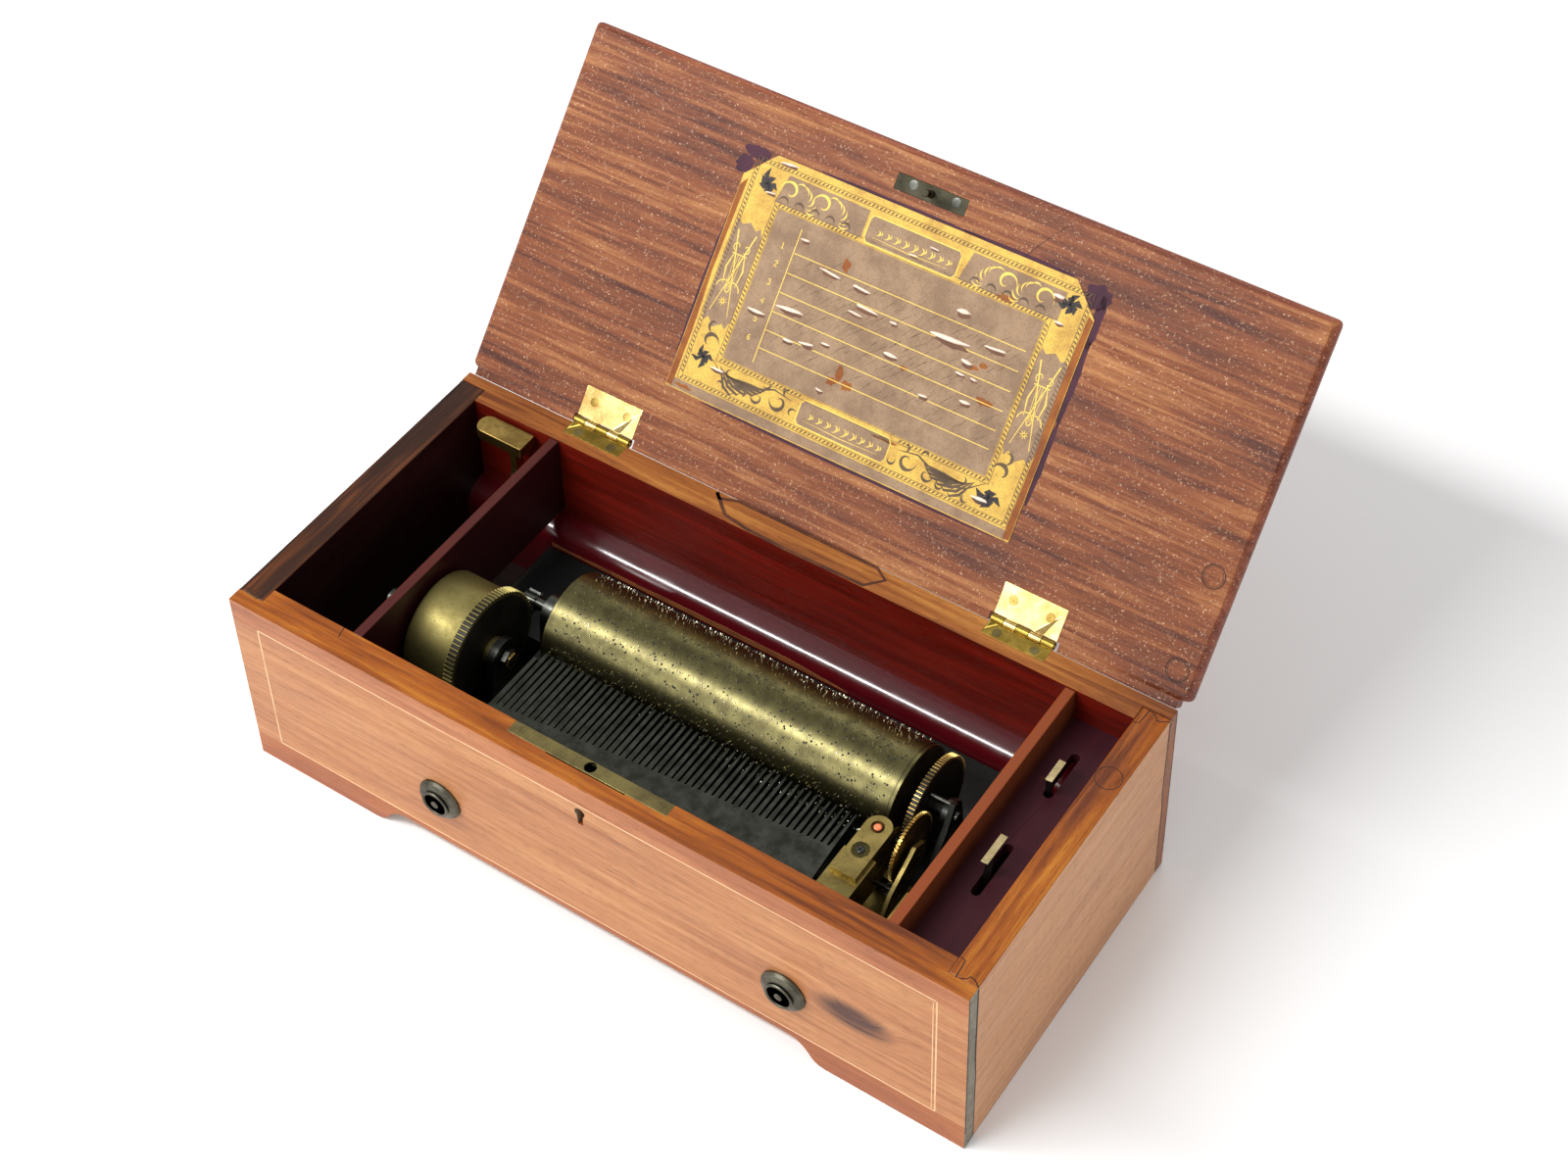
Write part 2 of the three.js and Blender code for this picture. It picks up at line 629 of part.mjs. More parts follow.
add('cylinder_bracket_right', standard(319.5, 323, cylinderY, cylinderZ, 7.5, 317, 330), steel);

// ---- comb
const combPitch = (combLast - combFirst) / (combTeeth - 1);
const combEdge = [[combFirst - 3, combFront], [combLast + 3, combFront]];
for (let tooth = combTeeth - 1; tooth >= 0; tooth -= 1) {
  const x = combFirst + tooth * combPitch;
  const share = tooth / (combTeeth - 1);
  const root = 34 + 16 * share;
  const tip = tooth ? combTip : combTip - 4.6;
  const rootHalf = 1.42 - 0.3 * share;
  const tipHalf = 1.05 - 0.6 * share;
  combEdge.push([x + rootHalf, root], [x + tipHalf, tip], [x - tipHalf, tip], [x - rootHalf, root]);
}
add('comb', plateZ(outline(combEdge), combTop - combThick, combTop), steel);
add('comb_base', plateX(outline([
  [combFront + 1, bedTop], [50, bedTop], [50, bedTop + 5], [combFront + 15, bedTop + 9],
  [combFront + 13, combTop - combThick], [combFront + 1, combTop - combThick],
]), combFirst - 3.6, combLast + 3), iron);

// ---- governor: two arbors, an endless screw and its fan in a brass frame
const firstPinionRadius = wheelModule * firstPinionTeeth / 2;
const firstWheelRadius = secondModule * firstWheelTeeth / 2;
const secondPinionRadius = secondModule * secondPinionTeeth / 2;
const wormWheelRadius = wormWheelModule * wormWheelTeeth / 2;
const secondY = wormY - wormWheelRadius - wormPitchRadius - 0.1;
const secondZ = firstZ - Math.sqrt((firstWheelRadius + secondPinionRadius + 0.05) ** 2 - (firstY - secondY) ** 2);
const firstToSecond = bearing(firstY, firstZ, secondY, secondZ);
const pivotRadius = 1.2;
const pivotHole = pivotRadius + 0.3;

add('governor_first_arbor', join(
  rodX(309, 322.3, firstY, firstZ, pivotRadius, 16),
  plateX(toothed(firstY, firstZ, firstPinionTeeth, firstPinionRadius, wheelModule,
    cylinderToFirst + Math.PI + Math.PI / firstPinionTeeth), 310.8, 316.4),
), steel);
const firstWheel = toothed(firstY, firstZ, firstWheelTeeth, firstWheelRadius, secondModule, firstToSecond);
add('governor_first_wheel', plateX(pierce(firstWheel, firstY, firstZ, pivotRadius + 0.15), 317, 318.5), brass);

add('governor_second_arbor', join(
  rodX(298.3, 322.3, secondY, secondZ, pivotRadius, 16),
  plateX(toothed(secondY, secondZ, secondPinionTeeth, secondPinionRadius, secondModule,
    firstToSecond + Math.PI + Math.PI / secondPinionTeeth), 316.3, 319.3),
), steel);

// The screw's threads climb to the right, so the wheel's teeth lean the same way.
const wormPitch = Math.PI * wormWheelModule;
const wormLead = wormStarts * wormPitch;
const leanPerMm = wormLead / (2 * Math.PI * wormPitchRadius) / wormWheelRadius;
const wormWheel = plateX(
  pierce(toothed(secondY, secondZ, wormWheelTeeth, wormWheelRadius, wormWheelModule, 0), secondY, secondZ,
    pivotRadius + 0.15),
  wormX - 0.9,
  wormX + 0.9,
);
const place = wormWheel.attributes.position;
for (let i = 0; i < place.count; i += 1) {
  const turn = (place.getX(i) - wormX) * leanPerMm;
  const y = place.getY(i) - secondY;
  const z = place.getZ(i) - secondZ;
  place.setY(i, secondY + y * Math.cos(turn) - z * Math.sin(turn));
  place.setZ(i, secondZ + y * Math.sin(turn) + z * Math.cos(turn));
}
add('worm_wheel', wormWheel, brass);

// Plain pivots at both ends; between them the thread's height follows the angle and the climb.
function endlessScrew(threadStart, threadEnd) {
  const around = 14;
  const core = wormPitchRadius - 1.15 * wormWheelModule;
  const crest = wormPitchRadius + 0.7 * wormWheelModule;
  const foot = [[49.8, 0.8], [52.2, 0.8], [52.2, core], [threadStart - 0.2, core]];
  const levels = foot.map(([z, radius]) => ({ z, radius }));
  const step = wormPitch / 4;
  for (let z = threadStart; z < threadEnd; z += step) {
    levels.push({ z });
  }
  const head = [[threadEnd + 0.2, core], [88.4, core], [88.4, 0.8], [90.9, 0.8]];
  levels.push(...head.map(([z, radius]) => ({ z, radius })));
  return loft(levels.map(({ z, radius }) => {
    const ring = [];
    for (let i = 0; i < around; i += 1) {
      const angle = (2 * Math.PI * i) / around;
      const climb = (z - secondZ) / wormPitch - wormStarts * (angle + Math.PI / 2) / (2 * Math.PI) + 0.5;
      const across = Math.abs(climb - Math.round(climb));
      const height = Math.min(Math.max((0.3 - across) / 0.16, 0), 1);
      const r = radius ?? core + (crest - core) * height;
      ring.push([wormX + r * Math.cos(angle), wormY + r * Math.sin(angle)]);
    }
    return { ring, z };
  }));
}

add('endless_screw', endlessScrew(62.2, 77), steel);
add('fan', cut(
  join(rodZ(53, 60, wormX, wormY, 2.4, 16), box(wormX - 8.6, wormX + 8.6, wormY - 0.4, wormY + 0.4, 53.6, 60)),
  rodZ(52, 61, wormX, wormY, 1.5, 16),
), brass);

const middleCheek = outline([[24, 62], [57, 62], [73, 73], [73, 82], [66, 86.5], [24, 86.5]]);
pierce(middleCheek, firstY, firstZ, pivotHole);
pierce(middleCheek, secondY, secondZ, pivotHole);
const leftCheek = pierce(outline([[24, 62], [57, 62], [57, 80], [48, 86.5], [24, 86.5]]), secondY, secondZ, pivotHole);
add('governor_frame', join(
  plateZ(pierce(outline([[298, 20], [326, 20], [326, 66], [314, 70], [298, 70]]), wormX, wormY, 1.1), bedTop, 51.5),
  box(299, 313.5, 20, 30, 51, 86.5),
  box(298, 314, 20, 48, 86, 89),
  plateX(leftCheek, 298, 300),
  plateX(middleCheek, 308.8, 310.3),
), brass);
const sideCock = outline([[34, 51.5], [54, 51.5], [58, 62], [73, 72], [73, 81], [66, 84], [46, 73], [34, 58]]);
pierce(sideCock, firstY, firstZ, pivotHole);
pierce(sideCock, secondY, secondZ, pivotHole);
add('governor_side_cock', plateX(sideCock, 320.5, 322.5), brass);

const cockPlan = outline([[300, 34], [312.5, 34], [312.5, wormY]]);
cockPlan.absarc(306.25, wormY, 6.25, 0, Math.PI, false);
add('governor_top_cock', cut(
  plateZ(cockPlan, 89, 92),
  rodZ(88, 93, wormX, wormY, 1.1, 16),
  rodZ(91, 93, wormX, wormY, 2, 20),
), brass);
add('governor_ruby', turnedZ([[91.1, 0], [91.1, 1.8], [92, 1.8], [92.4, 1.2], [92.4, 0]], wormX, wormY, 20), ruby);

// ---- start lever, stop detent and tune-change lever
const leverHalf = 1.5;
const rockRadius = 2;
add('start_lever', join(
  rodX(325, 364, rockY, rockZ, rockRadius, 16),
  plateX(disc(rockY, rockZ, 4), slotX - leverHalf, slotX + leverHalf, 8),
  plateX(strip([[rockY, rockZ], [65, 80], [65, 90], [69.3, 101.4], [79.5, 102]], leafThick),
    slotX - leverHalf, slotX + leverHalf),
), steel);
add('stop_detent', cut(
  join(
    plateX(disc(rockY, rockZ, 4.2), 325, 327.6, 8),
    plateX(strip([[rockY, rockZ], [84, 80], [90, 91]], 3.4), 325, 327.6),
    rodX(315.2, 326, 89.5, 90, 1, 12),
  ),
  rodX(324, 329, rockY, rockZ, rockRadius + 0.15, 16),
), steel);
add('rock_shaft_bearing', cut(
  join(box(329.2, 333, rockY - 5, rockY + 5, bedTop, rockZ + 5), box(329.2, 334, rockY - 12, rockY + 12, bedTop,
    bedTop + 2.5)),
  rodX(328, 335, rockY, rockZ, rockRadius + 0.3, 16),
), steel);
const platePlan = outline([[rockY - 10, rockZ - 8], [changeY + 12, rockZ - 14], [changeY + 12, boardTop - boardThick],
  [rockY - 10, boardTop - boardThick]]);
pierce(platePlan, rockY, rockZ, rockRadius + 0.3);
add('control_plate', join(
  plateX(platePlan, 361.5, 363.5),
  rodX(353, 362, changeY, changeZ, rockRadius, 16),
), iron);
add('change_lever', cut(
  join(
    plateX(disc(changeY, changeZ, 5), slotX - leverHalf, slotX + leverHalf, 8),
    plateX(strip([[changeY, changeZ], [117.3, 72], [117.3, 98.4], [128.5, 98.9]], leafThick),
      slotX - leverHalf, slotX + leverHalf),
  ),
  rodX(350, 364, changeY, changeZ, rockRadius + 0.3, 16),
), steel);

// Origin: middle of the footprint, on the table, with the lid open.
const bounds = new THREE.Box3().setFromObject(movement);
movement.position.set(
  -(bounds.min.x + bounds.max.x) / 2,
  -(bounds.min.y + bounds.max.y) / 2,
  -bounds.min.z,
);

export default movement;
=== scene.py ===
import json
import math
import random

import bpy
import bmesh
from mathutils import Matrix, Vector


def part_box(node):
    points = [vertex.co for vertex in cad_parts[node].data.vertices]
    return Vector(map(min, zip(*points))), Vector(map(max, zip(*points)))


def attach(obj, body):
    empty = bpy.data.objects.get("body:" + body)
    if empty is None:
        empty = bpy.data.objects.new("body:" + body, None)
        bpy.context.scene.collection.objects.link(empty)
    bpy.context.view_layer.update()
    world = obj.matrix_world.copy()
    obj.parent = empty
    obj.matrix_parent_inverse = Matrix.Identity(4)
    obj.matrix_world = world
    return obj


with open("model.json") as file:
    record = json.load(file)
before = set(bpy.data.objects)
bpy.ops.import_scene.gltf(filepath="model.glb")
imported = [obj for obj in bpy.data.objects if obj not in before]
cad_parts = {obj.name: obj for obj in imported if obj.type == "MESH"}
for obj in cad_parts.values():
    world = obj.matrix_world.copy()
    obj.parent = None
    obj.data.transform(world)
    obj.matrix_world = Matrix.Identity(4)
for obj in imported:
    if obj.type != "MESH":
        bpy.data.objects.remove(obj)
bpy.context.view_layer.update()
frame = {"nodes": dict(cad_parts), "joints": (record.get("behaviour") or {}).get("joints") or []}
print("stage: frame loaded")

# sizes below are in mm from the case's lower left front corner, as a maker would measure them
corner = Vector(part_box("case_front")[0])
caseSize = (Vector(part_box("case_rear")[1]) - corner) * 1000
lidHinge = next(joint for joint in frame["joints"] if joint["name"] == "lid_hinge")
hingePoint = Vector(lidHinge["pos_m"])
lidAngle = -math.radians(lidHinge["range_deg"][1])
lidUnder = 108.3         # height of the lid's inner face when it is shut
cardFace = 0.45          # the card's printed face stands this far off the lid
openLid = Matrix.Translation(hingePoint) @ Matrix.Rotation(lidAngle, 4, "X") @ Matrix.Translation(-hingePoint)


def at(x, y, z):
    return corner + Vector((x, y, z)) / 1000


camera = {
    "location": (514.0, -714.4, 1082.1),      # in mm from the frame's own origin
    "rotation": (47.94, 0.61, 33.21),         # in degrees
    "lens": 66.3,
    "shift": (-0.032, -0.2036),
}
cameraData = bpy.data.cameras.new("camera")
cameraData.lens = camera["lens"]
cameraData.sensor_width = 36
cameraData.shift_x, cameraData.shift_y = camera["shift"]
cameraData.clip_start = 0.05
cameraObject = bpy.data.objects.new("camera", cameraData)
cameraObject.location = Vector(camera["location"]) / 1000
cameraObject.rotation_euler = [math.radians(angle) for angle in camera["rotation"]]
bpy.context.scene.collection.objects.link(cameraObject)
bpy.context.scene.camera = cameraObject


def hexToLinear(code):
    channels = [int(code[i:i + 2], 16) / 255 for i in (1, 3, 5)]
    return [c / 12.92 if c <= 0.04045 else ((c + 0.055) / 1.055) ** 2.4 for c in channels] + [1.0]


def addNode(tree, kind, inputs=None, out=0, stops=None, **settings):
    node = tree.nodes.new(kind)
    for name, value in settings.items():
        setattr(node, name, value)
    for key, value in (inputs or {}).items():
        if isinstance(value, bpy.types.NodeSocket):
            tree.links.new(value, node.inputs[key])
        else:
            node.inputs[key].default_value = hexToLinear(value) if isinstance(value, str) else value
    if stops:
        elements = node.color_ramp.elements
        while len(elements) < len(stops):
            elements.new(0.5)
        for element, (position, colour) in zip(elements, stops):
            element.position = position
            element.color = hexToLinear(colour)
    return node.outputs[out] if node.outputs else node


def newMaterial(name):
    material = bpy.data.materials.new(name)
    material.use_nodes = True
    material.node_tree.nodes.clear()
    return material, material.node_tree


def endMaterial(tree, shader, height=None, depth=0.1):
    # depth is the relief in mm
    if height is not None:
        shader = dict(shader)
        shader["Normal"] = addNode(tree, "ShaderNodeBump", {"Strength": 1.0, "Distance": depth / 1000,
                                                            "Height": height})
    surface = addNode(tree, "ShaderNodeBsdfPrincipled", shader)
    addNode(tree, "ShaderNodeOutputMaterial", {"Surface": surface})


def softenEdges(piece, width):
    bevel = piece.modifiers.new("soft edges", "BEVEL")
    bevel.width = width / 1000
    bevel.segments = 2
    bevel.limit_method = "ANGLE"
    bevel.angle_limit = math.radians(40)


def makePiece(name, mesh, material, body, bevel=0.0, smooth=0.6):
    # mesh is a bmesh in metres; bevel is in mm; smooth is the largest angle, in radians, that is shaded round
    bmesh.ops.remove_doubles(mesh, verts=mesh.verts, dist=1e-7)
    bmesh.ops.recalc_face_normals(mesh, faces=mesh.faces)
    if body == "lid":
        mesh.transform(openLid)      # pieces of the lid are drawn on the shut lid and swing open with it
    data = bpy.data.meshes.new(name)
    mesh.to_mesh(data)
    mesh.free()
    data.materials.append(material)
    piece = bpy.data.objects.new(name, data)
    if bevel:
        softenEdges(piece, bevel)
    data.shade_smooth()
    data.set_sharp_from_angle(angle=smooth)
    bpy.context.scene.collection.objects.link(piece)
    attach(piece, body)


def addBox(mesh, low, high):
    low, high = at(*low), at(*high)
    matrix = Matrix.Translation((low + high) / 2) @ Matrix.Diagonal((*(high - low), 1))
    bmesh.ops.create_cube(mesh, size=1, matrix=matrix)


def addPrism(mesh, outline, lift, low, high):
    # outline is a list of (a, b); lift turns (a, b, h) into a point in metres, for h from low to high
    rings = [[mesh.verts.new(lift(a, b, h)) for a, b in outline] for h in (low, high)]
    mesh.faces.new(rings[0][::-1])
    mesh.faces.new(rings[1])
    for i in range(len(outline)):
        j = (i + 1) % len(outline)
        mesh.faces.new((rings[0][i], rings[0][j], rings[1][j], rings[1][i]))


def addTurned(mesh, profile, centre, axis, segments=48):
    # profile is a list of (along, radius) in mm; a radius of 0 closes the end
    centre = at(*centre)
    axis = Vector(axis).normalized()
    side = axis.orthogonal().normalized()
    other = axis.cross(side)
    rings = []
    for along, radius in profile:
        middle = centre + axis * along / 1000
        if radius <= 0:
            rings.append([mesh.verts.new(middle)])
            continue
        ring = []
        for i in range(segments):
            angle = 2 * math.pi * i / segments
            outward = side * math.cos(angle) + other * math.sin(angle)
            ring.append(mesh.verts.new(middle + outward * radius / 1000))
        rings.append(ring)
    for first, second in zip(rings, rings[1:]):
        for i in range(segments):
            j = (i + 1) % segments
            corners = [first[i % len(first)], first[j % len(first)], second[j % len(second)],
                       second[i % len(second)]]
            face = list(dict.fromkeys(corners))      # at a closed end two corners are the same point
            if len(face) > 2:
                mesh.faces.new(face)


screwHead = {
    "slot": 0.13,                                                    # half of the slot's width, in radii
    "dome": ((0, 1.0), (0.55, 0.98), (0.85, 0.8), (1.0, 0.45)),      # rise in heights, reach in radii
    "slotFloor": 0.35,                                               # in heights
    "steps": 12,
}


def addScrew(mesh, centre, axis, radius, height, turn):
    # a domed, slotted head: two half discs with the slot between them
    axis = Vector(axis).normalized()
    side = axis.orthogonal().normalized()
    side = Matrix.Rotation(turn, 3, axis) @ side
    other = axis.cross(side)
    middle = at(*centre)
    half = radius * screwHead["slot"]
    steps = screwHead["steps"]
    for sign in (-1, 1):
        rings = []
        for rise, share in screwHead["dome"]:
            reach = radius * share
            start = math.asin(min(half / reach, 1))
            ring = []
            for i in range(steps + 1):
                angle = start + (math.pi - 2 * start) * i / steps
                across = side * math.cos(angle) * reach + other * sign * math.sin(angle) * reach
                ring.append(mesh.verts.new(middle + (across + axis * height * rise) / 1000))
            rings.append(ring)
        for first, second in zip(rings, rings[1:]):
            for i in range(steps + 1):
                j = (i + 1) % (steps + 1)
                mesh.faces.new((first[i], first[j], second[j], second[i]))
        mesh.faces.new(rings[-1])
        mesh.faces.new(rings[0][::-1])
    floor = height * screwHead["slotFloor"]
    addTurned(mesh, [(0, 0), (0, radius * 0.99), (floor, radius * 0.97), (floor, 0)], centre, axis, 24)


def onLid(x, fromBack, drop):
    # x along the shut lid, fromBack from its hinged edge, drop below its inner face
    return at(x, caseSize.y - fromBack, lidUnder - drop)


def grainScale(grain, long, wide):
    # pattern scales for marks that are long mm along the grain and wide mm across it
    return [1000 / long if axis == grain else 1000 / wide for axis in "XYZ"]


def polishedMahogany(name, grain, faces, gloss, bands=(), figure=None, swing=False, paintedGlints=0.0):
    # shellac over mahogany: pores show as short dark dashes along the grain, under a thin warm gloss
    material, tree = newMaterial(name)
    place = addNode(tree, "ShaderNodeTexCoord", out="Object")
    normal = addNode(tree, "ShaderNodeTexCoord", out="Normal")
    if swing:
        shift = hingePoint - Matrix.Rotation(-lidAngle, 3, "X") @ hingePoint
        turn = (-lidAngle, 0, 0)
        place = addNode(tree, "ShaderNodeMapping", {"Vector": place, "Location": shift, "Rotation": turn})
        normal = addNode(tree, "ShaderNodeMapping", {"Vector": normal, "Rotation": turn},
                         vector_type="VECTOR")
    if figure:
        # a knot: the grain is pushed round a small dark centre
        away = addNode(tree, "ShaderNodeVectorMath", {0: place, 1: at(*figure["centre"])},
                       operation="SUBTRACT")
        squeeze = (1 / figure["width"], 1, 1 / figure["height"])
        squeezed = addNode(tree, "ShaderNodeVectorMath", {0: away, 1: squeeze}, operation="MULTIPLY")
        far = addNode(tree, "ShaderNodeVectorMath", {0: squeezed}, out="Value", operation="LENGTH")
        near = addNode(tree, "ShaderNodeMapRange",
                       {"Value": far, "From Min": 0, "From Max": 0.001, "To Min": 1, "To Max": 0},
                       interpolation_type="SMOOTHERSTEP")
        push = addNode(tree, "ShaderNodeMath", {0: near, 1: figure["push"] / 1000}, operation="MULTIPLY")
        lift = addNode(tree, "ShaderNodeCombineXYZ", {"Z": push})
        place = addNode(tree, "ShaderNodeVectorMath", {0: place, 1: lift}, operation="ADD")
    fibre = addNode(tree, "ShaderNodeMapping", {"Vector": place, "Scale": grainScale(grain, 75, 3.4)})
    rings = addNode(tree, "ShaderNodeTexNoise", {"Vector": fibre, "Scale": 1.0, "Detail": 6.0,
                                                 "Roughness": 0.62, "Distortion": 0.5})
    patch = grainScale(grain, 1000 / 9, 1000 / 42)      # about 110 mm long and 24 mm wide
    cloudPlace = addNode(tree, "ShaderNodeMapping", {"Vector": place, "Scale": patch})
    cloud = addNode(tree, "ShaderNodeTexNoise", {"Vector": cloudPlace, "Scale": 1.0, "Detail": 3.0})
    mixed = addNode(tree, "ShaderNodeMix", {0: 0.42, 2: rings, 3: cloud}, data_type="FLOAT")
    # pores are drawn 0.45 mm wide, a little coarser than real ones, so that they show
    porePlace = addNode(tree, "ShaderNodeMapping", {"Vector": place, "Scale": grainScale(grain, 6, 0.45)})
    pores = addNode(tree, "ShaderNodeTexNoise", {"Vector": porePlace, "Scale": 1.0, "Detail": 2.0})
    poreMask = addNode(tree, "ShaderNodeMapRange", {"Value": pores, "From Min": 0.56, "From Max": 0.7})
    colour = None
    for direction, (dark, middle, light) in faces:
        tone = addNode(tree, "ShaderNodeValToRGB", {"Fac": mixed},
                       stops=[(0.36, dark), (0.5, middle), (0.64, light)])
        if colour is None:
            colour = tone
            continue
        facing = addNode(tree, "ShaderNodeVectorMath", {0: normal, 1: direction}, out="Value",
                         operation="DOT_PRODUCT")
        mask = addNode(tree, "ShaderNodeMapRange", {"Value": facing, "From Min": 0.6, "From Max": 0.8})
        colour = addNode(tree, "ShaderNodeMix", {0: mask, 6: colour, 7: tone}, out=2, data_type="RGBA")
    height = addNode(tree, "ShaderNodeSeparateXYZ", {"Vector": place}, out="Z")
    forward = addNode(tree, "ShaderNodeSeparateXYZ", {"Vector": normal}, out="Y")
    for low, high, tint, strength in bands:
        # a band of other veneer on the front face, between two heights
        above = addNode(tree, "ShaderNodeMath", {0: height, 1: at(0, 0, low).z}, operation="GREATER_THAN")
        below = addNode(tree, "ShaderNodeMath", {0: height, 1: at(0, 0, high).z}, operation="LESS_THAN")
        outside = addNode(tree, "ShaderNodeMath", {0: forward, 1: -0.7}, operation="LESS_THAN")
        inBand = addNode(tree, "ShaderNodeMath", {0: above, 1: below}, operation="MULTIPLY")
        inBand = addNode(tree, "ShaderNodeMath", {0: inBand, 1: outside}, operation="MULTIPLY")
        inBand = addNode(tree, "ShaderNodeMath", {0: inBand, 1: strength}, operation="MULTIPLY")
        colour = addNode(tree, "ShaderNodeMix", {0: inBand, 6: colour, 7: tint}, out=2, data_type="RGBA",
                         blend_type="MULTIPLY")
    if figure:
        stain = addNode(tree, "ShaderNodeMath", {0: near, 1: rings}, operation="MULTIPLY")
        stain = addNode(tree, "ShaderNodeMapRange", {"Value": stain, "From Min": 0.18, "From Max": 0.5})
        stain = addNode(tree, "ShaderNodeMath", {0: stain, 1: figure["strength"]}, operation="MULTIPLY")
        colour = addNode(tree, "ShaderNodeMix", {0: stain, 6: colour, 7: figure["tint"]}, out=2,
                         data_type="RGBA")
    darkPores = addNode(tree, "ShaderNodeMath", {0: poreMask, 1: 0.38}, operation="MULTIPLY")
    colour = addNode(tree, "ShaderNodeMix", {0: darkPores, 6: colour, 7: "#3a1a10"}, out=2, data_type="RGBA")
    if paintedGlints:
        # painted glints: pale specks mixed into the colour stand for the glints of tiny flakes of worn polish
        flakes = addNode(tree, "ShaderNodeTexNoise", {"Vector": place, "Scale": 1 / 0.0011, "Detail": 3.0,
                                                      "Roughness": 0.75})
        glintMask = addNode(tree, "ShaderNodeMapRange", {"Value": flakes, "From Min": 0.6, "From Max": 0.7,
                                                         "To Max": paintedGlints})
        colour = addNode(tree, "ShaderNodeMix", {0: glintMask, 6: colour, 7: "#f0c8a2"}, out=2,
                         data_type="RGBA")
    roughness = addNode(tree, "ShaderNodeMapRange", {"Value": cloud, "From Min": 0.3, "From Max": 0.7,
                                                     "To Min": gloss - 0.08, "To Max": gloss + 0.1})
    relief = addNode(tree, "ShaderNodeMath", {0: 1.0, 1: poreMask}, operation="SUBTRACT")
    endMaterial(tree, {"Base Color": colour, "Roughness": roughness, "IOR": 1.5, "Specular IOR Level": 0.3},
                relief, 0.05)
    return material


def agedMetal(name, clean, tarnish, spot, roughness, grit=1.2, metallic=1.0, relief=0.02, vary=0.1):
    # old cast and rolled metal: cleaner where it is handled, cloudy with oxide elsewhere, with dark pits;
    # grit is the pits' size and relief their depth, both in mm
    material, tree = newMaterial(name)
    place = addNode(tree, "ShaderNodeTexCoord", out="Object")
    cloud = addNode(tree, "ShaderNodeTexNoise", {"Vector": place, "Scale": 1000 / (grit * 12), "Detail": 6.0,
                                                 "Roughness": 0.65})
    fine = addNode(tree, "ShaderNodeTexNoise", {"Vector": place, "Scale": 1000 / grit, "Detail": 4.0,
                                                "Roughness": 0.7})
    patches = addNode(tree, "ShaderNodeMapRange", {"Value": cloud, "From Min": 0.38, "From Max": 0.62})
    colour = addNode(tree, "ShaderNodeMix", {0: patches, 6: clean, 7: tarnish}, out=2, data_type="RGBA")
    pits = addNode(tree, "ShaderNodeMapRange", {"Value": fine, "From Min": 0.58, "From Max": 0.72,
                                                "To Max": 0.8})
    colour = addNode(tree, "ShaderNodeMix", {0: pits, 6: colour, 7: spot}, out=2, data_type="RGBA")
    rough = addNode(tree, "ShaderNodeMapRange", {"Value": cloud, "From Min": 0.3, "From Max": 0.7,
                                                 "To Min": roughness - vary, "To Max": roughness + vary})
    endMaterial(tree, {"Base Color": colour, "Metallic": metallic, "Roughness": rough}, fine, relief)
    return material


def stainedPaper(name, base, shade, grime, share=0.55, grain=0.8):
    # printed paper or card, browned by age: soft clouds of stain 14 mm across and a tooth of grain mm
    material, tree = newMaterial(name)
    place = addNode(tree, "ShaderNodeTexCoord", out="Object")
    cloud = addNode(tree, "ShaderNodeTexNoise", {"Vector": place, "Scale": 1000 / 14, "Detail": 7.0,
                                                 "Roughness": 0.7})
    tooth = addNode(tree, "ShaderNodeTexNoise", {"Vector": place, "Scale": 1000 / grain, "Detail": 4.0,
                                                 "Roughness": 0.8})
    patches = addNode(tree, "ShaderNodeMapRange", {"Value": cloud, "From Min": share - 0.1,
                                                   "From Max": share + 0.1})
    colour = addNode(tree, "ShaderNodeMix", {0: patches, 6: base, 7: shade}, out=2, data_type="RGBA")
    dots = addNode(tree, "ShaderNodeMapRange", {"Value": tooth, "From Min": 0.5, "From Max": 0.72,
                                                "To Max": 0.75})
    colour = addNode(tree, "ShaderNodeMix", {0: dots, 6: colour, 7: grime}, out=2, data_type="RGBA")
    endMaterial(tree, {"Base Color": colour, "Roughness": 0.72, "IOR": 1.45}, tooth, 0.05)
    return material


